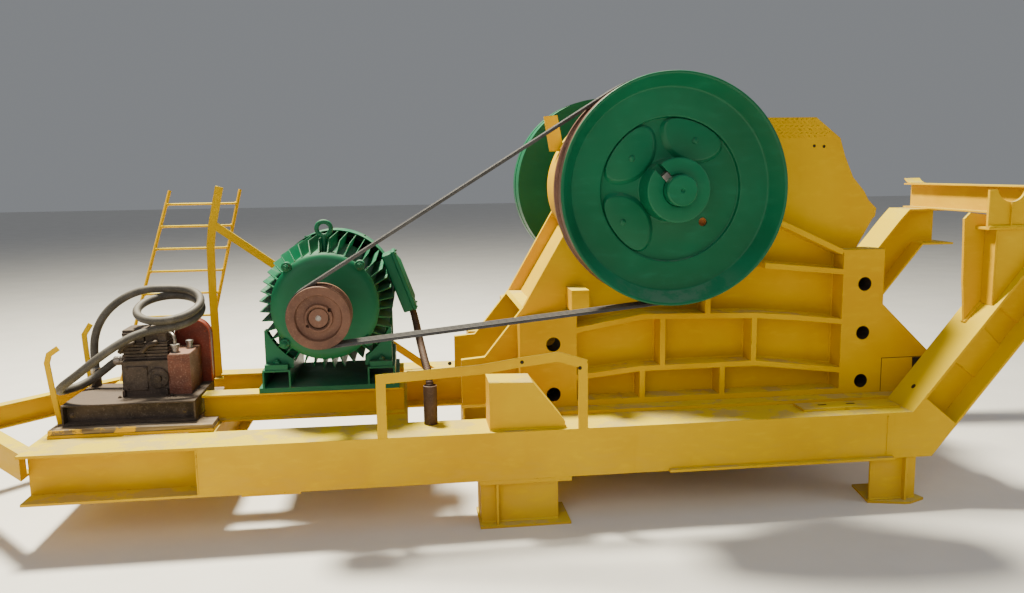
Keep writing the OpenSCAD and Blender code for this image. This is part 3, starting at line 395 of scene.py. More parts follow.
def turned(bm, outline, centre, axis, steps):
    """Turns a closed outline of (radius, height along the axis) about an axis."""
    side, up = square_to(axis)
    loops = []
    for k in range(steps):
        angle = 2 * pi * k / steps
        out = cos(angle) * side + sin(angle) * up
        loops.append([centre + axis * p[1] + out * p[0] for p in outline])
    skin(bm, loops, ring=True)


def prism(bm, outline, thickness):
    """Flat outline of points, thickened by a vector."""
    skin(bm, [outline, [p + thickness for p in outline]])


def block(bm, low, high, bevel):
    """Box between two corners, with its edges rounded off."""
    made = bmesh.ops.create_cube(bm, size=1.0)["verts"]
    size = high - low
    middle = (high + low) / 2
    for vert in made:
        vert.co = Vector((vert.co.x * size.x, vert.co.y * size.y, vert.co.z * size.z)) + middle
    edges = list(dict.fromkeys(edge for vert in made for edge in vert.link_edges))
    bmesh.ops.bevel(bm, geom=edges, offset=bevel, segments=3, affect="EDGES", profile=0.6)


def tube(bm, path, radius, sides):
    """Sweeps a circle along a path. radius is a number or a function of the index."""
    size = radius if callable(radius) else lambda i: radius
    loops = []
    side = None
    for i, point in enumerate(path):
        ahead = (path[min(i + 1, len(path) - 1)] - path[max(i - 1, 0)]).normalized()
        if side is None:
            side = square_to(ahead)[0]
        side = (side - ahead * side.dot(ahead)).normalized()
        loops.append(circle_points(point, size(i), sides, side, ahead.cross(side)))
    skin(bm, loops)


def smooth_path(points, step):
    """Points at even steps along a smooth curve through the given ones."""
    rough = []
    for i in range(len(points) - 1):
        before = points[max(i - 1, 0)]
        a = points[i]
        b = points[i + 1]
        after = points[min(i + 2, len(points) - 1)]
        for k in range(12):
            t = k / 12
            rough.append(0.5 * (2 * a + (b - before) * t + (2 * before - 5 * a + 4 * b - after) * t ** 2
                                + (3 * a - 3 * b + after - before) * t ** 3))
    rough.append(points[-1])
    spans = [(b - a).length for a, b in zip(rough, rough[1:])]
    count = max(2, round(sum(spans) / step))
    even = [rough[0]]
    travelled = 0.0
    index = 0
    for k in range(1, count):
        goal = sum(spans) * k / count
        while travelled + spans[index] < goal:
            travelled += spans[index]
            index += 1
        even.append(rough[index].lerp(rough[index + 1], (goal - travelled) / spans[index]))
    even.append(rough[-1])
    return even


def bead(bm, points, size):
    """Weld bead along a row of points, with a ripple about every 12 mm."""
    path = []
    for a, b in zip(points, points[1:]):
        count = max(1, round((b - a).length / 0.012))
        path += [a.lerp(b, k / count) for k in range(count)]
    path.append(points[-1])
    shifts = [chance.uniform(-0.15, 0.15) for _ in path]
    tube(bm, path, lambda i: size * (1 + 0.22 * (i % 2) + shifts[i]), 6)


def bolt(bm, place, out, size, washer=True):
    """Hexagon bolt head, or nut, with its washer and the end of its thread."""
    out = out.normalized()
    if washer:
        lathe(bm, [(size * 0.95, -0.001), (size * 0.95, size * 0.14), (size * 0.6, size * 0.16)],
              place, out, 20)
    lathe(bm, [(size * 0.82, size * 0.1), (size * 0.82, size * 0.62), (size * 0.68, size * 0.72)],
          place, out, 6, chance.uniform(0, 1))
    lathe(bm, [(size * 0.42, size * 0.6), (size * 0.42, size * 0.98), (size * 0.34, size * 1.05)],
          place, out, 12)


def soften(corners, size, steps=3):
    """Rounds the corners of a closed outline of 2-D points."""
    rounded = []
    corners = [Vector(corner) for corner in corners]
    for i, corner in enumerate(corners):
        before = corners[i - 1] - corner
        after = corners[(i + 1) % len(corners)] - corner
        start = corner + before.normalized() * min(size, before.length * 0.45)
        end = corner + after.normalized() * min(size, after.length * 0.45)
        for k in range(steps + 1):
            t = k / steps
            rounded.append(start * (1 - t) ** 2 + corner * 2 * t * (1 - t) + end * t ** 2)
    return rounded


def side_plate(bm, outline, y, thickness, size=0.0):
    """Plate drawn as a side view in x from the shaft and z above it."""
    points = soften(outline, size) if size else [Vector(p) for p in outline]
    prism(bm, [spot(p[0], y, SHAFT_Z + p[1]) for p in points], FAR * thickness)


def shade(mesh, degrees):
    """Smooth shading, but for edges sharper than an angle."""
    mesh.shade_smooth()
    mesh.set_sharp_from_angle(angle=radians(degrees))


def add_piece(name, bm, slot, body="root", smooth=35, replaces=(), finish=None):
    """Makes a piece. finish names a material other than the slot's own."""
    bmesh.ops.remove_doubles(bm, verts=bm.verts, dist=0.00002)
    bmesh.ops.recalc_face_normals(bm, faces=bm.faces)
    mesh = bpy.data.meshes.new(name)
    bm.to_mesh(mesh)
    bm.free()
    mesh.materials.append(MATERIALS[finish or slot])
    obj = placed(name, mesh)
    if smooth:
        shade(mesh, smooth)
    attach(obj, body)
    if replaces:
        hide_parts(*replaces)
    return obj


def drill(a, b, radius, sides):
    """Cutter for a round hole between two points."""
    bm = bmesh.new()
    lathe(bm, [(radius, 0), (radius, (b - a).length)], a, b - a, sides)
    return bm


def carve(piece, smooth, *cutters):
    """Cuts each cutter's solid out of a piece, then shades it again."""
    for bm in cutters:
        bmesh.ops.recalc_face_normals(bm, faces=bm.faces)
        mesh = bpy.data.meshes.new("cutter")
        bm.to_mesh(mesh)
        bm.free()
        tool = placed("cutter", mesh)
        cut = piece.modifiers.new("cut", "BOOLEAN")
        cut.operation = "DIFFERENCE"
        cut.solver = "EXACT"
        cut.object = tool
        bpy.context.view_layer.update()
        shaped = bpy.data.meshes.new_from_object(piece.evaluated_get(bpy.context.evaluated_depsgraph_get()))
        piece.modifiers.clear()
        piece.data = shaped
        bpy.data.objects.remove(tool)
    shade(piece.data, smooth)


# Drive belts

BELT_WHEEL = 0.522   # radius of the flywheel's belt rim
BELT_PULLEY = 0.142  # radius of the motor pulley
BELT_COUNT = 4
BELT_PITCH = 0.028
BELT_MIDDLE = middle_of("drive_belts", "y")


def belt_places(middle):
    """Places of the belts side by side about a middle."""
    return [middle + (i - (BELT_COUNT - 1) / 2) * BELT_PITCH for i in range(BELT_COUNT)]


def grooves(radius, middle):
    """Profile of a rim's V-grooves, as (radius, height along the axis)."""
    deep = radius - 0.018
    row = []
    for at in belt_places(middle):
        row += [(radius, at - 0.0118), (deep, at - 0.006), (deep, at + 0.006), (radius, at + 0.0118)]
    return row


def belt_line():
    """Points round both rims, each with its outward direction."""
    gap = SHAFT - MOTOR
    lean = atan2(gap.z, gap.x)
    wrap = acos((BELT_PULLEY - BELT_WHEEL) / gap.length)
    line = []
    for centre, radius, start, end, steps in ((SHAFT, BELT_WHEEL, lean - wrap, lean + wrap, 60),
            (MOTOR, BELT_PULLEY, lean + wrap, lean - wrap + 2 * pi, 26)):
        for k in range(steps + 1):
            out = ray(start + (end - start) * k / steps)
            line.append((centre + out * radius, out))
    return line


def add_belts():
    """Separate V-belts. Each section point is (across the belt, out from the rim)."""
    section = [(-0.0108, 0.0012), (-0.0096, 0.0044), (0.0096, 0.0044), (0.0108, 0.0012),
               (0.0066, -0.0092), (-0.0066, -0.0092)]
    for i, y in enumerate(belt_places(BELT_MIDDLE)):
        bm = bmesh.new()
        skin(bm, [[p + out * h + FAR * (y + w) for w, h in section] for p, out in belt_line()], ring=True)
        add_piece(f"v_belt_{i + 1}", bm, "belt_rubber", replaces=("drive_belts",))


# Motor

def add_barrel():
    """Barrel with thin tapered fins, each a little out of true."""
    low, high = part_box("motor_barrel")
    fin_count = 40
    fin_reach = 0.322
    barrel = 0.258
    height = fin_reach - barrel
    bm = bmesh.new()
    lathe(bm, [(barrel, low.y), (barrel, high.y)], MOTOR, FAR, 120)
    edge = [(barrel - 0.004, low.y), (barrel + 0.002, low.y), (fin_reach - 0.012, low.y + 0.05),
            (fin_reach, low.y + 0.066), (fin_reach, high.y), (barrel - 0.004, high.y)]
    for k in range(fin_count):
        out = ray((k + 0.5) * 2 * pi / fin_count)
        across = out.cross(FAR)
        lean = across * chance.uniform(-0.002, 0.002)
        sides = []
        for s in (-1, 1):
            sides.append([MOTOR + out * r + FAR * y + (lean + across * s * 0.0018) * (r - barrel) / height
                          + across * s * 0.0034 * (fin_reach - r) / height for r, y in edge])
        skin(bm, sides)
    add_piece("finned_barrel", bm, "green_paint", replaces=("motor_barrel",))


def add_end_shields():
    """Dished end shields with bolted bosses and a bolted bearing cap."""
    low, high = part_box("motor_end_shields")
    thick = 0.045
    bore = 0.0455
    profile = [(bore, -0.012), (0.088, -0.012), (0.092, -0.016), (0.1, -0.02), (0.19, -0.013),
               (0.222, -0.014), (0.243, -0.021), (0.254, -0.03), (0.2575, -0.034), (0.2575, -thick),
               (bore, -thick)]
    bm = bmesh.new()
    for face, axis in ((low.y, NEAR), (high.y, FAR)):
        centre = MOTOR + FAR * face
        lathe(bm, profile, centre, axis, 120)
        for degrees in (49, 131, 221, 319):
            boss = centre + ray(radians(degrees)) * 0.262
            lathe(bm, [(0.024, -thick), (0.024, -0.012), (0.021, -0.009)], boss, axis, 24)
            bolt(bm, boss - axis * 0.009, axis, 0.017)
        for k in range(4):
            cap_bolt = centre + ray(pi / 4 + k * pi / 2) * 0.072
            bolt(bm, cap_bolt - axis * 0.012, axis, 0.009, False)
    add_piece("end_shield_castings", bm, "green_paint", replaces=("motor_end_shields",))


def add_fan_grille():
    """Rings over the fan's opening and bolts round the cover."""
    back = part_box("motor_fan_cover")[1].y
    bm = bmesh.new()
    for k in range(9):
        radius = 0.05 + 0.028 * k
        ring = [(radius, -0.004), (radius, 0.0), (radius + 0.008, 0.0), (radius + 0.008, -0.004)]
        lathe(bm, ring, MOTOR + FAR * back, FAR, 64)
    for k in range(6):
        away = ray(k * pi / 3)
        bolt(bm, MOTOR + FAR * (back - 0.06) + away * 0.3255, away, 0.008, False)
    add_piece("fan_grille", bm, "green_paint")


def add_terminal_box():
    """Box square to a radius 20 degrees up, with a ridged lid and a gland below."""
    tilt = radians(20)
    turn = Matrix((ray(tilt), FAR, ray(tilt + pi / 2))).transposed().to_4x4()
    bm = bmesh.new()
    block(bm, Vector((-0.042, -0.09, -0.158)), Vector((0.012, 0.09, 0.158)), 0.012)
    block(bm, Vector((0.008, -0.095, -0.162)), Vector((0.03, 0.095, 0.162)), 0.009)
    skin(bm, [[Vector((x, -wide, -tall)), Vector((x, wide, -tall)), Vector((x, wide, tall)),
               Vector((x, -wide, tall))] for x, wide, tall in ((0.029, 0.06, 0.13), (0.0418, 0.02, 0.1))])
    for y in (-0.082, 0.082):
        for z in (-0.148, 0.148):
            bolt(bm, Vector((0.03, y, z)), RIGHT, 0.007)
    lathe(bm, [(0.03, 0), (0.03, 0.02), (0.024, 0.022)], Vector((0, 0, -0.1605)), UP, 6)
    low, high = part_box("motor_terminal_box")
    bmesh.ops.transform(bm, matrix=Matrix.Translation((low + high) / 2) @ turn, verts=bm.verts)
    add_piece("terminal_box_with_lid", bm, "green_paint", replaces=("motor_terminal_box",))


def add_motor_bolts():
    low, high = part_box("motor_feet")
    bm = bmesh.new()
    for x in (MOTOR.x - 0.254, MOTOR.x + 0.254):
        for y in (low.y + 0.03, high.y - 0.07):
            bolt(bm, Vector((x, y, low.z + 0.026)), UP, 0.021)
    add_piece("motor_foot_bolts", bm, "green_paint")


CONDUIT = [(-1.189, -0.111, 0.944), (-1.181, -0.113, 0.92), (-1.174, -0.128, 0.888),
           (-1.167, -0.162, 0.855), (-1.16, -0.225, 0.822), (-1.152, -0.305, 0.792),
           (-1.144, -0.385, 0.765), (-1.136, -0.455, 0.738), (-1.127, -0.52, 0.711),
           (-1.121, -0.568, 0.679), (-1.118, -0.59, 0.635)]


def add_conduit():
    """Ribbed conduit from the terminal box into a pipe on the beam."""
    bm = bmesh.new()
    path = smooth_path([spot(*p) for p in CONDUIT], 0.0045)
    tube(bm, path, lambda i: 0.0175 if i % 3 else 0.0198, 14)
    foot = spot(-1.118, -0.59, BEAM_TOP)
    lathe(bm, [(0.033, 0), (0.033, 0.1), (0.0326, 0.12), (0.033, 0.188), (0.029, 0.19), (0.0285, 0.1)],
          foot, UP, 32)
    lathe(bm, [(0.0328, 0.15), (0.0328, 0.152), (0.0325, 0.18)], foot, UP, 32)
    add_piece("conduit_and_pipe", bm, "rusty_pipe", replaces=("motor_conduit",))


# Hose

HOSE = 0.04  # diameter
RUN = [(-2.645, -0.145, 0.735), (-2.685, -0.145, 0.73), (-2.74, -0.147, 0.69), (-2.795, -0.16, 0.65),
       (-2.845, -0.195, 0.626), (-2.88, -0.245, 0.621), (-2.893, -0.305, 0.628), (-2.877, -0.368, 0.65),
       (-2.835, -0.42, 0.684), (-2.775, -0.448, 0.726), (-2.71, -0.455, 0.775), (-2.645, -0.45, 0.823),
       (-2.58, -0.43, 0.866), (-2.52, -0.398, 0.898), (-2.455, -0.366, 0.917)]
TAIL = [(-2.445, -0.088, 1.089), (-2.51, -0.088, 1.087), (-2.57, -0.088, 1.075), (-2.63, -0.089, 1.05),
        (-2.685, -0.09, 1.014), (-2.732, -0.092, 0.968), (-2.768, -0.093, 0.912), (-2.79, -0.095, 0.85),
        (-2.799, -0.095, 0.785), (-2.8, -0.095, 0.72), (-2.8, -0.095, 0.6503)]


def coil_points():
    """Turns of the hose on the unit's heads, from front to back."""
    centre = spot(-2.385, -0.22, 1.008)
    radius = 0.15
    rise = 0.06
    turns = 1.5
    tilt = Matrix.Rotation(radians(20), 3, "X")
    count = round(turns * 24)
    points = []
    for k in range(count + 1):
        angle = -pi / 2 + 2 * pi * turns * k / count
        flat = Vector((radius * cos(angle), radius * sin(angle), rise * (k / count - 0.5)))
        points.append(centre + tilt @ flat)
    return points


def add_hose():
    """Hose from the unit round the deck, in a coil and down, with a ferrule at each end."""
    route = [spot(*p) for p in RUN] + coil_points() + [spot(*p) for p in TAIL]
    path = smooth_path(route, 0.012)
    bm = bmesh.new()
    tube(bm, path, HOSE / 2, 16)
    hose = add_piece("hydraulic_hose", bm, "hose_rubber", replaces=("hose_run", "hose_coil", "hose_tail"))
    for end, point, away in (("start", path[0], path[1] - path[0]), ("end", path[-1], path[-2] - path[-1])):
        bm = bmesh.new()
        lathe(bm, [(0.0203, 0.001), (0.0235, 0.003), (0.0235, 0.012), (0.0222, 0.014), (0.0235, 0.017),
                   (0.0235, 0.042), (0.0203, 0.046)], point, away, 24)
        add_piece(f"hose_ferrule_{end}", bm, "bare_steel")


# Flywheels and shaft, with faces given from the middle towards the viewer

WHEEL_BACK = -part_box("near_flywheel")[1].y
HUB_FACE = -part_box("near_flywheel")[0].y
LIP_FACE = HUB_FACE - 0.04
RING_FACE = LIP_FACE - 0.08
RECESS_FLOOR = RING_FACE - 0.02
LIP_BACK = LIP_FACE - 0.014
STEP_FACE = LIP_FACE - 0.04
BACK_FLOOR = WHEEL_BACK + 0.06
WHEEL_R = 0.525
RIM_SKIN = 0.519
RIM_IN = 0.495
BACK_R = 0.35
RECESS_R = 0.328
HUB_R = 0.145
SHAFT_R = 0.07
SHAFT_PAINT = HUB_FACE - 0.05  # painted from here outwards
KEY_WAY = ray(radians(133))
HOLE = (0.16, -0.151)  # small rusty hole, from the shaft


def lens(wall, middle, radius):
    """Outline of a pad, where the recess meets a circle round a point out from the shaft."""
    steps = 14
    reach = acos((wall ** 2 + middle ** 2 - radius ** 2) / (2 * wall * middle))
    swing = atan2(wall * sin(reach), wall * cos(reach) - middle)
    outer = [reach * (2 * k / steps - 1) for k in range(steps + 1)]
    inner = [swing + (2 * pi - 2 * swing) * k / steps for k in range(1, steps)]
    return ([Vector((wall * cos(a), wall * sin(a))) for a in outer]
            + [Vector((middle + radius * cos(a), radius * sin(a))) for a in inner])


def blunted(points):
    """Rounds the tips of a closed outline by averaging neighbours."""
    for _ in range(4):
        points = [(points[i - 1] + p + points[(i + 1) % len(points)]) / 3 for i, p in enumerate(points)]
    return points


def wheel_point(x, z, height):
    """A point on the near wheel, from its axis and towards the viewer."""
    return Vector((SHAFT_X + x, -height, SHAFT_Z + z))


def add_wheel_disc():
    """Dished disc with a raised hub and lip, cut for the key and the small hole."""
    bore = SHAFT_R + 0.0005
    profile = [(bore, HUB_FACE), (HUB_R, HUB_FACE), (HUB_R, RECESS_FLOOR), (RECESS_R, RECESS_FLOOR),
               (RECESS_R, RING_FACE), (0.463, RING_FACE), (0.513, LIP_FACE), (WHEEL_R, LIP_FACE),
               (WHEEL_R, LIP_BACK), (RIM_SKIN, LIP_BACK), (RIM_SKIN, STEP_FACE), (RIM_IN, STEP_FACE),
               (RIM_IN, WHEEL_BACK), (BACK_R, WHEEL_BACK), (BACK_R, BACK_FLOOR), (HUB_R, BACK_FLOOR),
               (HUB_R, WHEEL_BACK), (bore, WHEEL_BACK)]
    bm = bmesh.new()
    turned(bm, soften(profile, 0.007), SHAFT, NEAR, 144)
    wheel = add_piece("near_flywheel_disc", bm, "green_paint", "crusher_shaft", replaces=("near_flywheel",))
    across = KEY_WAY.cross(NEAR) * 0.018
    deep = NEAR * 0.07
    low = SHAFT + KEY_WAY * 0.06 + NEAR * (HUB_FACE - 0.055)
    slot = bmesh.new()
    prism(slot, [low - across, low + across, low + across + deep, low - across + deep], KEY_WAY * 0.1)
    hole = drill(wheel_point(*HOLE, RECESS_FLOOR - 0.03), wheel_point(*HOLE, RECESS_FLOOR + 0.03), 0.02, 24)
    carve(wheel, 35, slot, hole)


def add_wheel_pads():
    """Three raised pads in the recess, each turned by an angle, with a nub at its own place."""
    levels = ((RECESS_FLOOR - 0.002, 0.02), (RING_FACE - 0.005, 0.003), (RING_FACE - 0.001, -0.002),
              (RING_FACE, -0.008))
    bm = bmesh.new()
    for degrees, nub_r, nub_degrees in ((67.5, 0.2456, 63.2), (140, 0.2335, 142), (215.5, 0.267, 212.5)):
        turn = Matrix.Rotation(radians(degrees), 2)
        loops = []
        for height, grow in levels:
            outline = blunted(lens(RECESS_R - 0.002 + min(grow, 0), 0.314, 0.167 + grow))
            loops.append([wheel_point(*(turn @ p), height) for p in outline])
        skin(bm, loops)
        nub = radians(nub_degrees)
        lathe(bm, [(0.014, -0.001), (0.0135, 0.003), (0.01, 0.006), (0.004, 0.0075)],
              wheel_point(nub_r * cos(nub), nub_r * sin(nub), RING_FACE), NEAR, 20)
    add_piece("near_flywheel_pads", bm, "green_paint", "crusher_shaft")


def add_wheel_rim():
    """Bare grooved rim just clear of the disc, and the rust in the small hole."""
    gap = 0.0005
    rim = [(RIM_IN + gap, WHEEL_BACK), (BELT_WHEEL - 0.003, WHEEL_BACK), (BELT_WHEEL, WHEEL_BACK + 0.003)]
    rim += grooves(BELT_WHEEL, -BELT_MIDDLE)
    rim += [(BELT_WHEEL, LIP_BACK - gap), (RIM_SKIN + gap, LIP_BACK - gap),
            (RIM_SKIN + gap, STEP_FACE - gap), (RIM_IN + gap, STEP_FACE - gap)]
    bm = bmesh.new()
    turned(bm, rim, SHAFT, NEAR, 144)
    add_piece("near_flywheel_belt_rim", bm, "worn_pulley", "crusher_shaft", 20)
    bm = bmesh.new()
    lathe(bm, [(0.0195, -0.026), (0.0195, -0.012), (0.015, -0.014), (0.012, -0.02), (0.004, -0.022)],
          wheel_point(*HOLE, RECESS_FLOOR), NEAR, 24)
    add_piece("flywheel_hole_rust", bm, "worn_pulley", "crusher_shaft", finish="rusty_orange")


def add_shaft():
    """Shaft with chamfered painted ends, and the bare key in the near wheel."""
    reach = -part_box("eccentric_shaft")[0].y
    bm = bmesh.new()
    lathe(bm, [(SHAFT_R, -SHAFT_PAINT), (SHAFT_R, SHAFT_PAINT)], SHAFT, NEAR, 64)
    add_piece("crusher_shaft_bar", bm, "bare_steel", "crusher_shaft", replaces=("eccentric_shaft",))
    bm = bmesh.new()
    for axis in (NEAR, FAR):
        lathe(bm, [(SHAFT_R, SHAFT_PAINT), (SHAFT_R, reach - 0.006), (SHAFT_R - 0.006, reach), (0.011, reach),
                   (0.005, reach - 0.008)], SHAFT, axis, 64)
    add_piece("crusher_shaft_ends", bm, "green_paint", "crusher_shaft")
    bm = bmesh.new()
    across = KEY_WAY.cross(NEAR)
    low = SHAFT + KEY_WAY * 0.062 + NEAR * (HUB_FACE - 0.054)
    outline = soften([(-0.0165, 0), (0.0165, 0), (0.0165, 0.052), (-0.0165, 0.052)], 0.003)
    prism(bm, [low + across * p.x + NEAR * p.y for p in outline], KEY_WAY * 0.036)
    add_piece("flywheel_key", bm, "bare_steel", "crusher_shaft")


def add_pulley():
    """Grooved pulley with two tapped holes, and the motor shaft's end in its bore."""
    face = -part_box("motor_pulley")[0].y
    back = -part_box("motor_pulley")[1].y
    bore = 0.0455
    front = soften([(BELT_PULLEY, face), (0.104, face), (0.1, face - 0.018), (0.064, face - 0.018),
                    (0.061, face), (bore, face)], 0.003)[1:]
    outline = [(bore, back), (BELT_PULLEY, back)] + grooves(BELT_PULLEY, (face + back) / 2)
    bm = bmesh.new()
    turned(bm, outline + [(BELT_PULLEY, face - 0.003)] + front, MOTOR, NEAR, 96)
    wheel = add_piece("grooved_pulley", bm, "worn_pulley", "motor_rotor", 20, replaces=("motor_pulley",))
    taps = [MOTOR + NEAR * face + ray(radians(degrees)) * 0.06 for degrees in (35, 215)]
    carve(wheel, 25, *(drill(tap - NEAR * 0.03, tap + NEAR * 0.01, 0.0085, 20) for tap in taps))
    bm = bmesh.new()
    lathe(bm, [(0.0445, face - 0.03), (0.0445, face - 0.0075), (0.0425, face - 0.005),
               (0.012, face - 0.005), (0.006, face - 0.012)], MOTOR, NEAR, 48)
    add_piece("motor_shaft_end", bm, "worn_pulley", "motor_rotor")
    bm = bmesh.new()
    lathe(bm, [(0.0125, face - 0.006), (0.0125, face - 0.0035), (0.011, face - 0.003),
               (0.005, face - 0.009)], MOTOR, NEAR, 24)
    add_piece("motor_shaft_centre", bm, "bare_steel", "motor_rotor")


# Crusher body, measured from the shaft: ribs' upper edges in (x, z), then upright ribs' edges, low and high

RIBS = [[(0.596, -0.384), (1.016, -0.427)],
        [(-0.378, -0.682), (-0.042, -0.625), (0.551, -0.639), (0.76, -0.657), (1.016, -0.687)],
        [(-0.378, -0.923), (-0.05, -0.891), (0.558, -0.888), (1.016, -0.943)],
        [(0.56, -0.122), (0.7, -0.18), (1.016, -0.327)]]
UPRIGHTS = [((0.284, 0.312), -0.632, -0.122), ((0.05, 0.078), -0.889, -0.655),
            ((0.532, 0.56), -0.887, -0.667), ((-0.054, -0.026), -1.056, -0.92),
            ((0.367, 0.395), -1.056, -0.918), ((1.016,), -1.056, -0.33), ((-0.378,), -1.056, -0.6)]
SIDES = (("near", -1), ("far", 1))


def add_body_welds():
    """Beads along both edges of the ribs, where they meet the side plates."""
    size = 0.0065
    thick = 0.0282
    for name, side in SIDES:
        y = side * SIDE_FACE
        bm = bmesh.new()
        for row in RIBS:
            bead(bm, [spot(x, y, SHAFT_Z + z) for x, z in row], size)
            bead(bm, [spot(x, y, SHAFT_Z + z - thick) for x, z in row], size)
        for edges, low, high in UPRIGHTS:
            for x in edges:
                bead(bm, [spot(x, y, SHAFT_Z + low), spot(x, y, SHAFT_Z + high)], size)
        add_piece(f"{name}_side_welds", bm, "yellow_paint")


def add_chequers():
    """Rows of raised lozenges along the tops of the cheeks, up to their sloping edges."""
    pitch = 0.028
    for name, side in SIDES:
        bm = bmesh.new()
        for row in range(6):
            z = 0.25 + row * 0.0175
            lean = 1 if row % 2 else -1
            long_way = Vector((0.011, 0.006 * lean))
            short_way = Vector((-0.002 * lean, 0.0036))
            for k in range(22):
                x = 0.36 + k * pitch + (row % 2) * pitch / 2
                if x > 0.895 + (0.345 - z) * 1.27 - 0.02:
                    continue
                middle = Vector((x, z))
                base = [middle + long_way, middle + short_way, middle - long_way, middle - short_way]
                crown = [middle + (p - middle) * 0.6 for p in base]
                skin(bm, [[spot(p.x, side * y, SHAFT_Z + p.y) for p in level]
                          for level, y in ((base, SIDE_FACE), (crown, SIDE_FACE + 0.0018))])
        add_piece(f"{name}_cheek_chequers", bm, "yellow_paint", smooth=0)


def add_painted_gap_shades():
    """Bolt holes, flame-cut gaps and slots in the plates, as thin skins painted dark with the shade in them.
    """
    thin = 0.0006
    bm = bmesh.new()
    for x, z in ((0.89, 0.201), (0.943, 0.198)):
        lathe(bm, [(0.008, 0), (0.008, thin)], spot(x, -SIDE_FACE, SHAFT_Z + z), NEAR, 16)
    side_plate(bm, [(1.249, -1.08), (1.249, -0.905), (1.5, -0.903), (1.5, -0.9), (1.2455, -0.9015),
                    (1.2455, -1.08)], -0.4556, 0.001)
    side_plate(bm, [(1.418, -0.905), (1.466, -0.905), (1.421, -0.974)], -0.4558, 0.001)
    for x, z in ((-1.03, -0.764), (-0.70, -0.772), (-0.43, -0.81)):
        lathe(bm, [(0.009, 0), (0.009, thin)], spot(x, -FLANGE_EDGE, SHAFT_Z + z), NEAR, 16)
    z = BEAM_TOP + 0.0102
    for left, right in ((0.818, 0.862), (0.968, 1.012)):
        prism(bm, [spot(left, -0.62, z), spot(right, -0.62, z), spot(right, -0.634, z),
                   spot(left, -0.634, z)], UP * thin)
    add_piece("painted_gap_shades", bm, "jaw_steel", finish="painted_gap_shade", smooth=0)


def add_hole_linings():
    """Thin skins inside the holes of the two side frames, painted dark with the shade in them."""
    lining = [(0.0358, 0.0), (0.0358, 0.149), (0.0346, 0.149), (0.0346, 0.0)]
    bm = bmesh.new()
    for side in (-1, 1):
        for x, rows in ((1.136, (0, 1, 2)), (-0.497, (1, 2))):
            for row in rows:
                place = spot(x, side * (RIB_FACE - 0.0005), SHAFT_Z - 0.508 - 0.256 * row)
                turned(bm, lining, place, FAR * -side, 32)
    add_piece("hole_linings", bm, "jaw_steel", finish="painted_gap_shade")


# Frame

def add_neck_patches():
    """Patch plates on the webs of the goose-necks, with welds round them."""
    lower = [(1.647, -0.711), (1.753, -0.818), (1.634, -0.981), (1.509, -0.882)]
    upper = [(1.728, -0.612), (1.85, -0.709), (2.0, -0.515), (1.89, -0.405)]
    for name, side in SIDES:
        bm = bmesh.new()
        for outline in (lower, upper):
            side_plate(bm, outline, side * NECK_WEB - 0.0035, 0.007, 0.004)
            ring = [spot(x, side * (NECK_WEB - 0.0055), SHAFT_Z + z) for x, z in outline]
            bead(bm, ring + ring[:1], 0.005)
        add_piece(f"{name}_neck_patches", bm, "yellow_paint")


def add_flange_cut():
    """Wedge-shaped cut and bolt hole in the near goose-neck's top flange, as thin skins painted dark with the
    shade in them.
    """
    slope = ray(NECK_ANGLE)
    out = ray(NECK_ANGLE + pi / 2)
    start = spot(NECK_FOOT, 0, BEAM_TOP)
    foot = start + slope * 0.63
    corners = [foot + NEAR * 0.66, foot + slope * 0.09 + NEAR * 0.615, foot + slope * 0.09 + NEAR * 0.655]
    bm = bmesh.new()
    prism(bm, [p + out * 0.0004 for p in corners], out * 0.001)
    lathe(bm, [(0.013, 0), (0.013, 0.0012)], start + slope * 0.12 + NEAR * 0.66, out, 18)
    add_piece("neck_flange_cut", bm, "jaw_steel", finish="painted_gap_shade", smooth=0)


# Both ends in x and z, y from the middle and size of the beads that both sides have
SIDE_BEADS = [((-0.85, BEAM_TOP + 0.002), (-0.495, BEAM_TOP + 0.002), 0.76, 0.006),
              ((-2.166, 0.245), (-2.166, BEAM_TOP - 0.012), 0.7905, 0.004),
              ((1.1, 0.245), (1.1, BEAM_TOP - 0.014), 0.7905, 0.0035),
              ((-0.897, 0.228), (-0.529, 0.228), 0.75, 0.006),
              ((-0.897, 0.014), (-0.529, 0.014), 0.75, 0.006),
              ((1.033, 0.228), (1.272, 0.228), 0.766, 0.006),
              ((1.033, 0.014), (1.272, 0.014), 0.766, 0.006),
              ((0.712, BEAM_TOP + 0.002), (1.218, BEAM_TOP + 0.002), 0.695, 0.005)]


def add_frame_welds():
    """Beads on the goose-necks, brackets, posts, feet and pedestals."""
    bm = bmesh.new()
    for side in (-1, 1):
        for start, end, y, size in SIDE_BEADS:
            bead(bm, [spot(x, side * y, z) for x, z in (start, end)], size)
    shelf = SHAFT_Z - 0.208
    bead(bm, [spot(1.592, -0.752, shelf + 0.002), spot(1.823, -0.752, shelf + 0.002)], 0.0075)
    bead(bm, [spot(1.638, -0.7505, shelf - 0.014), spot(1.638, -0.7505, 0.98)], 0.006)
    for y in (-0.66, -0.64):
        bead(bm, [spot(x, y, BEAM_TOP + (x - NECK_FOOT) * tan(NECK_ANGLE) + 0.004)
                  for x in (1.56, 1.64)], 0.008)
    side_plate(bm, [(1.702, -0.208), (1.71, -0.208), (1.71, -0.09), (1.702, -0.09)], -0.759, 0.0095)
    add_piece("frame_welds", bm, "yellow_paint")


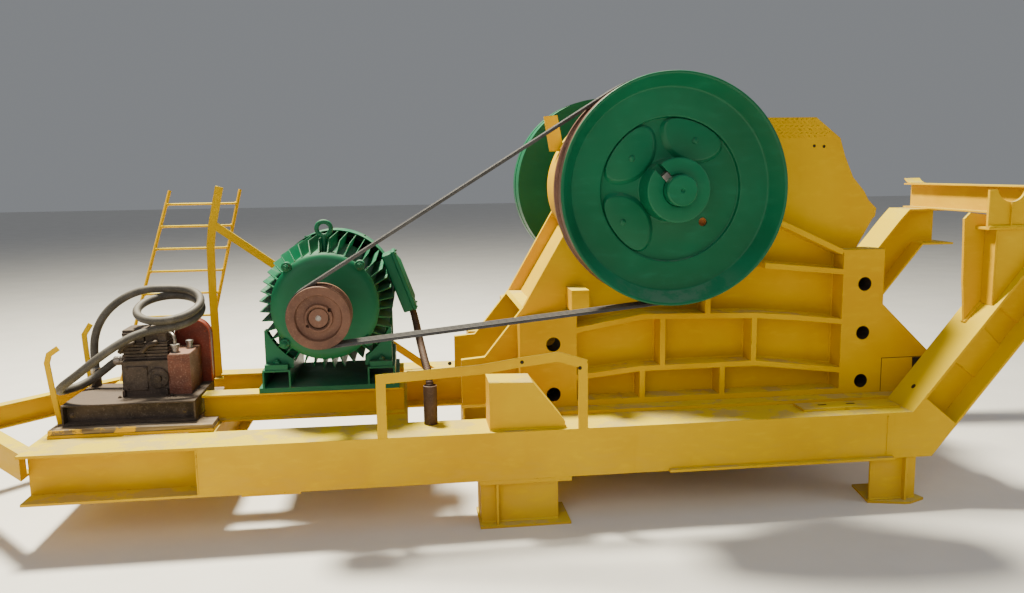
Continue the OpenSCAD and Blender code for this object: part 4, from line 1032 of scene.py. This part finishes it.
def add_bent_flange():
    """Bent-up far end of the top cross beam's upper flange."""
    low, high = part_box("top_cross_beam")
    steps = 8
    thick = 0.007
    bm = bmesh.new()
    loops = []
    for k in range(steps + 1):
        t = k / steps
        y = high.y - 0.075 + 0.0748 * t
        z = high.z - 0.004 + 0.03 * t ** 2.2
        loops.append([Vector((x, y, z + up)) for x, up in ((low.x + 0.001, 0), (high.x - 0.001, 0),
                                                           (high.x - 0.001, thick), (low.x + 0.001, thick))])
    skin(bm, loops)
    add_piece("bent_flange_end", bm, "yellow_paint")


# Deck and unit

def add_planks():
    """Planks, each a little wavy, twisted and ragged. The first is the longest."""
    low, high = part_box("deck_planks")
    width = 0.145
    pitch = 0.149
    count = 46
    for i in range(5):
        end = high.x if i == 0 else high.x - 0.085
        y = low.y + i * pitch
        loops = []
        twist = chance.uniform(-0.0012, 0.0012)
        for k in range(count + 1):
            t = k / count
            x = low.x + 0.001 + (end - low.x - 0.002) * t
            sag = 0.0015 * sin(t * 5.0 + i)
            wave = 0.0018 * sin(t * 11.0 + i * 2.1)
            ragged = chance.uniform(0, 0.003) if k in (0, count) else 0
            section = soften([(wave + 0.002, 0.0005), (width - 0.002 + wave, 0.0005),
                              (width - 0.002 + wave, 0.0235 + twist + sag),
                              (wave + 0.002, 0.0235 - twist + sag)], 0.004, 2)
            shift = ragged if k == 0 else -ragged
            loops.append([Vector((x + shift, y + p.x, low.z + p.y + chance.uniform(-0.0003, 0.0003)))
                          for p in section])
        bm = bmesh.new()
        skin(bm, loops)
        add_piece(f"deck_plank_{i + 1}", bm, "weathered_wood", replaces=("deck_planks",))


def add_cylinder_heads():
    """Cylinder heads with covers, bolts and bent pipes, and the fins below them."""
    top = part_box("unit_block")[1].z
    near, far = -0.32, -0.17
    middle = (near + far) / 2
    heads = (-2.5375, -2.4315)
    bm = bmesh.new()
    for x in heads:
        block(bm, spot(x - 0.05, near - 0.006, top - 0.03), spot(x + 0.05, far + 0.006, top - 0.012), 0.005)
        block(bm, spot(x - 0.036, middle - 0.055, top - 0.014), spot(x + 0.036, middle + 0.055, top - 0.001),
              0.006)
        for dx in (-0.04, 0.04):
            for y in (near + 0.008, far - 0.008):
                bolt(bm, spot(x + dx, y, top - 0.014), UP, 0.0085, False)
        pipe = [spot(x, near - 0.002, top - 0.06), spot(x, near - 0.03, top - 0.062),
                spot(x - 0.03, near - 0.045, top - 0.07), spot(x - 0.055, near - 0.04, top - 0.1)]
        tube(bm, smooth_path(pipe, 0.008), 0.012, 12)
    for i in range(5):
        z = 0.79 + i * 0.016
        for x in heads:
            block(bm, spot(x - 0.0535, -0.33, z - 0.0005), spot(x + 0.0535, -0.16, z + 0.0035), 0.0012)
    add_piece("cylinder_head_parts", bm, "brown_unit")


def add_engine_front():
    """Bolted cover, bearing cap and mounting lugs on the front of the unit's block."""
    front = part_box("unit_block")[0].y
    bm = bmesh.new()
    block(bm, spot(-2.577, front - 0.008, 0.625), spot(-2.472, front + 0.002, 0.745), 0.006)
    for x in (-2.567, -2.482):
        for z in (0.635, 0.735):
            bolt(bm, spot(x, front - 0.008, z), NEAR, 0.008, False)
    cap = spot(-2.424, front, 0.685)
    lathe(bm, [(0.05, -0.001), (0.05, 0.012), (0.044, 0.016), (0.02, 0.016), (0.018, 0.03),
               (0.012, 0.032)], cap, NEAR, 32)
    for k in range(6):
        bolt(bm, cap + NEAR * 0.014 + ray(k * pi / 3) * 0.036, NEAR, 0.006, False)
    for x in (-2.585, -2.385):
        block(bm, spot(x - 0.006, front - 0.02, 0.6005), spot(x + 0.006, front + 0.005, 0.63), 0.003)
    add_piece("engine_front_parts", bm, "brown_unit")


def add_unit_fittings():
    """Two capped necks on the unit's box, a bent pipe from one, and the hose's nipple."""
    bm = bmesh.new()
    for x, y, size in ((-2.35, -0.3, 0.017), (-2.305, -0.2, 0.014)):
        lathe(bm, [(size * 1.5, -0.001), (size * 1.5, 0.006), (size, 0.008), (size, 0.03),
                   (size * 1.3, 0.032), (size * 1.3, 0.044), (size * 0.6, 0.047)], spot(x, y, 0.794), UP, 20)
    tube(bm, smooth_path([spot(-2.35, -0.3, 0.838), spot(-2.352, -0.3, 0.872), spot(-2.37, -0.28, 0.888),
                          spot(-2.4, -0.25, 0.882)], 0.008), 0.009, 12)
    lathe(bm, [(0.02, 0), (0.02, 0.01), (0.013, 0.012), (0.013, 0.03)], spot(-2.642, -0.145, 0.735), RIGHT, 6)
    add_piece("unit_fittings", bm, "bare_steel")


def add_guard_rim():
    """Rolled rims round both faces of the red guard, and three bolts."""
    low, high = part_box("unit_guard")
    centre = Vector(((low.x + high.x) / 2, 0, high.z - 0.086))
    arch = [centre + ray(pi * k / 24) * 0.0855 for k in range(25)]
    foot = low.z + 0.002
    path = [Vector((low.x + 0.1715, 0, foot))] + arch + [Vector((low.x + 0.0005, 0, foot))]
    bm = bmesh.new()
    for y in (low.y + 0.003, high.y - 0.003):
        tube(bm, [p + FAR * y for p in path], 0.0045, 8)
    for degrees in (20, 90, 160):
        bolt(bm, centre + ray(radians(degrees)) * 0.07 + FAR * low.y, NEAR, 0.007, False)
    add_piece("guard_rim", bm, "red_guard", finish="red_edge")


def add_box_panels():
    low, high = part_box("unit_box")
    bm = bmesh.new()
    block(bm, low + Vector((0.006, -0.002, 0.02)), Vector((high.x - 0.006, low.y + 0.004, high.z - 0.02)),
          0.004)
    block(bm, Vector((low.x + 0.004, low.y + 0.004, high.z - 0.001)), high + Vector((-0.001, -0.004, 0.004)),
          0.003)
    add_piece("unit_box_panels", bm, "red_brown_box")


def add_stand_bolts():
    """Bolts on the unit's channel stand, and a bead along its top edge."""
    low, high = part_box("unit_stand")
    bm = bmesh.new()
    for x in (low.x + 0.05, high.x - 0.05):
        bolt(bm, Vector((x, low.y, low.z + 0.05)), NEAR, 0.012)
    top = low.z + 0.098
    for x in (-2.60, -2.36):
        for y in (-0.38, -0.09):
            bolt(bm, spot(x, y, top), UP, 0.011)
    bead(bm, [Vector((x, low.y, top - 0.004)) for x in (low.x + 0.005, high.x - 0.005)], 0.003)
    add_piece("stand_bolts", bm, "brown_unit")


def add_ladder_welds():
    """Blobs of weld where the rungs meet the stringers, which run between points in (x, y)."""
    left = (-2.905, 0.6), (-2.622, 0.86)
    right = (-2.905 + 0.463, 0.6), (-2.622 + 0.414, 0.86)
    rise = 1.106
    bm = bmesh.new()
    for i in range(8):
        t = 0.925 - i * 0.132 / rise
        for ((x0, y0), (x1, y1)), inward in ((left, RIGHT), (right, -RIGHT)):
            place = spot(x0 + (x1 - x0) * t, y0 + (y1 - y0) * t, BEAM_TOP + rise * t)
            lathe(bm, [(0.0105, 0.004), (0.012, 0.009), (0.0095, 0.014), (0.0072, 0.018)], place, inward, 10)
    add_piece("ladder_welds", bm, "yellow_paint")


add_camera()
MATERIALS = make_materials()
add_hose()
dress_frame()
add_light()
add_floor()
add_belts()
add_barrel()
add_end_shields()
add_fan_grille()
add_terminal_box()
add_motor_bolts()
add_conduit()
add_wheel_disc()
add_wheel_pads()
add_wheel_rim()
add_shaft()
add_pulley()
add_body_welds()
add_chequers()
add_painted_gap_shades()
add_hole_linings()
add_neck_patches()
add_flange_cut()
add_frame_welds()
add_bent_flange()
add_planks()
add_cylinder_heads()
add_engine_front()
add_unit_fittings()
add_guard_rim()
add_box_panels()
add_stand_bolts()
add_ladder_welds()
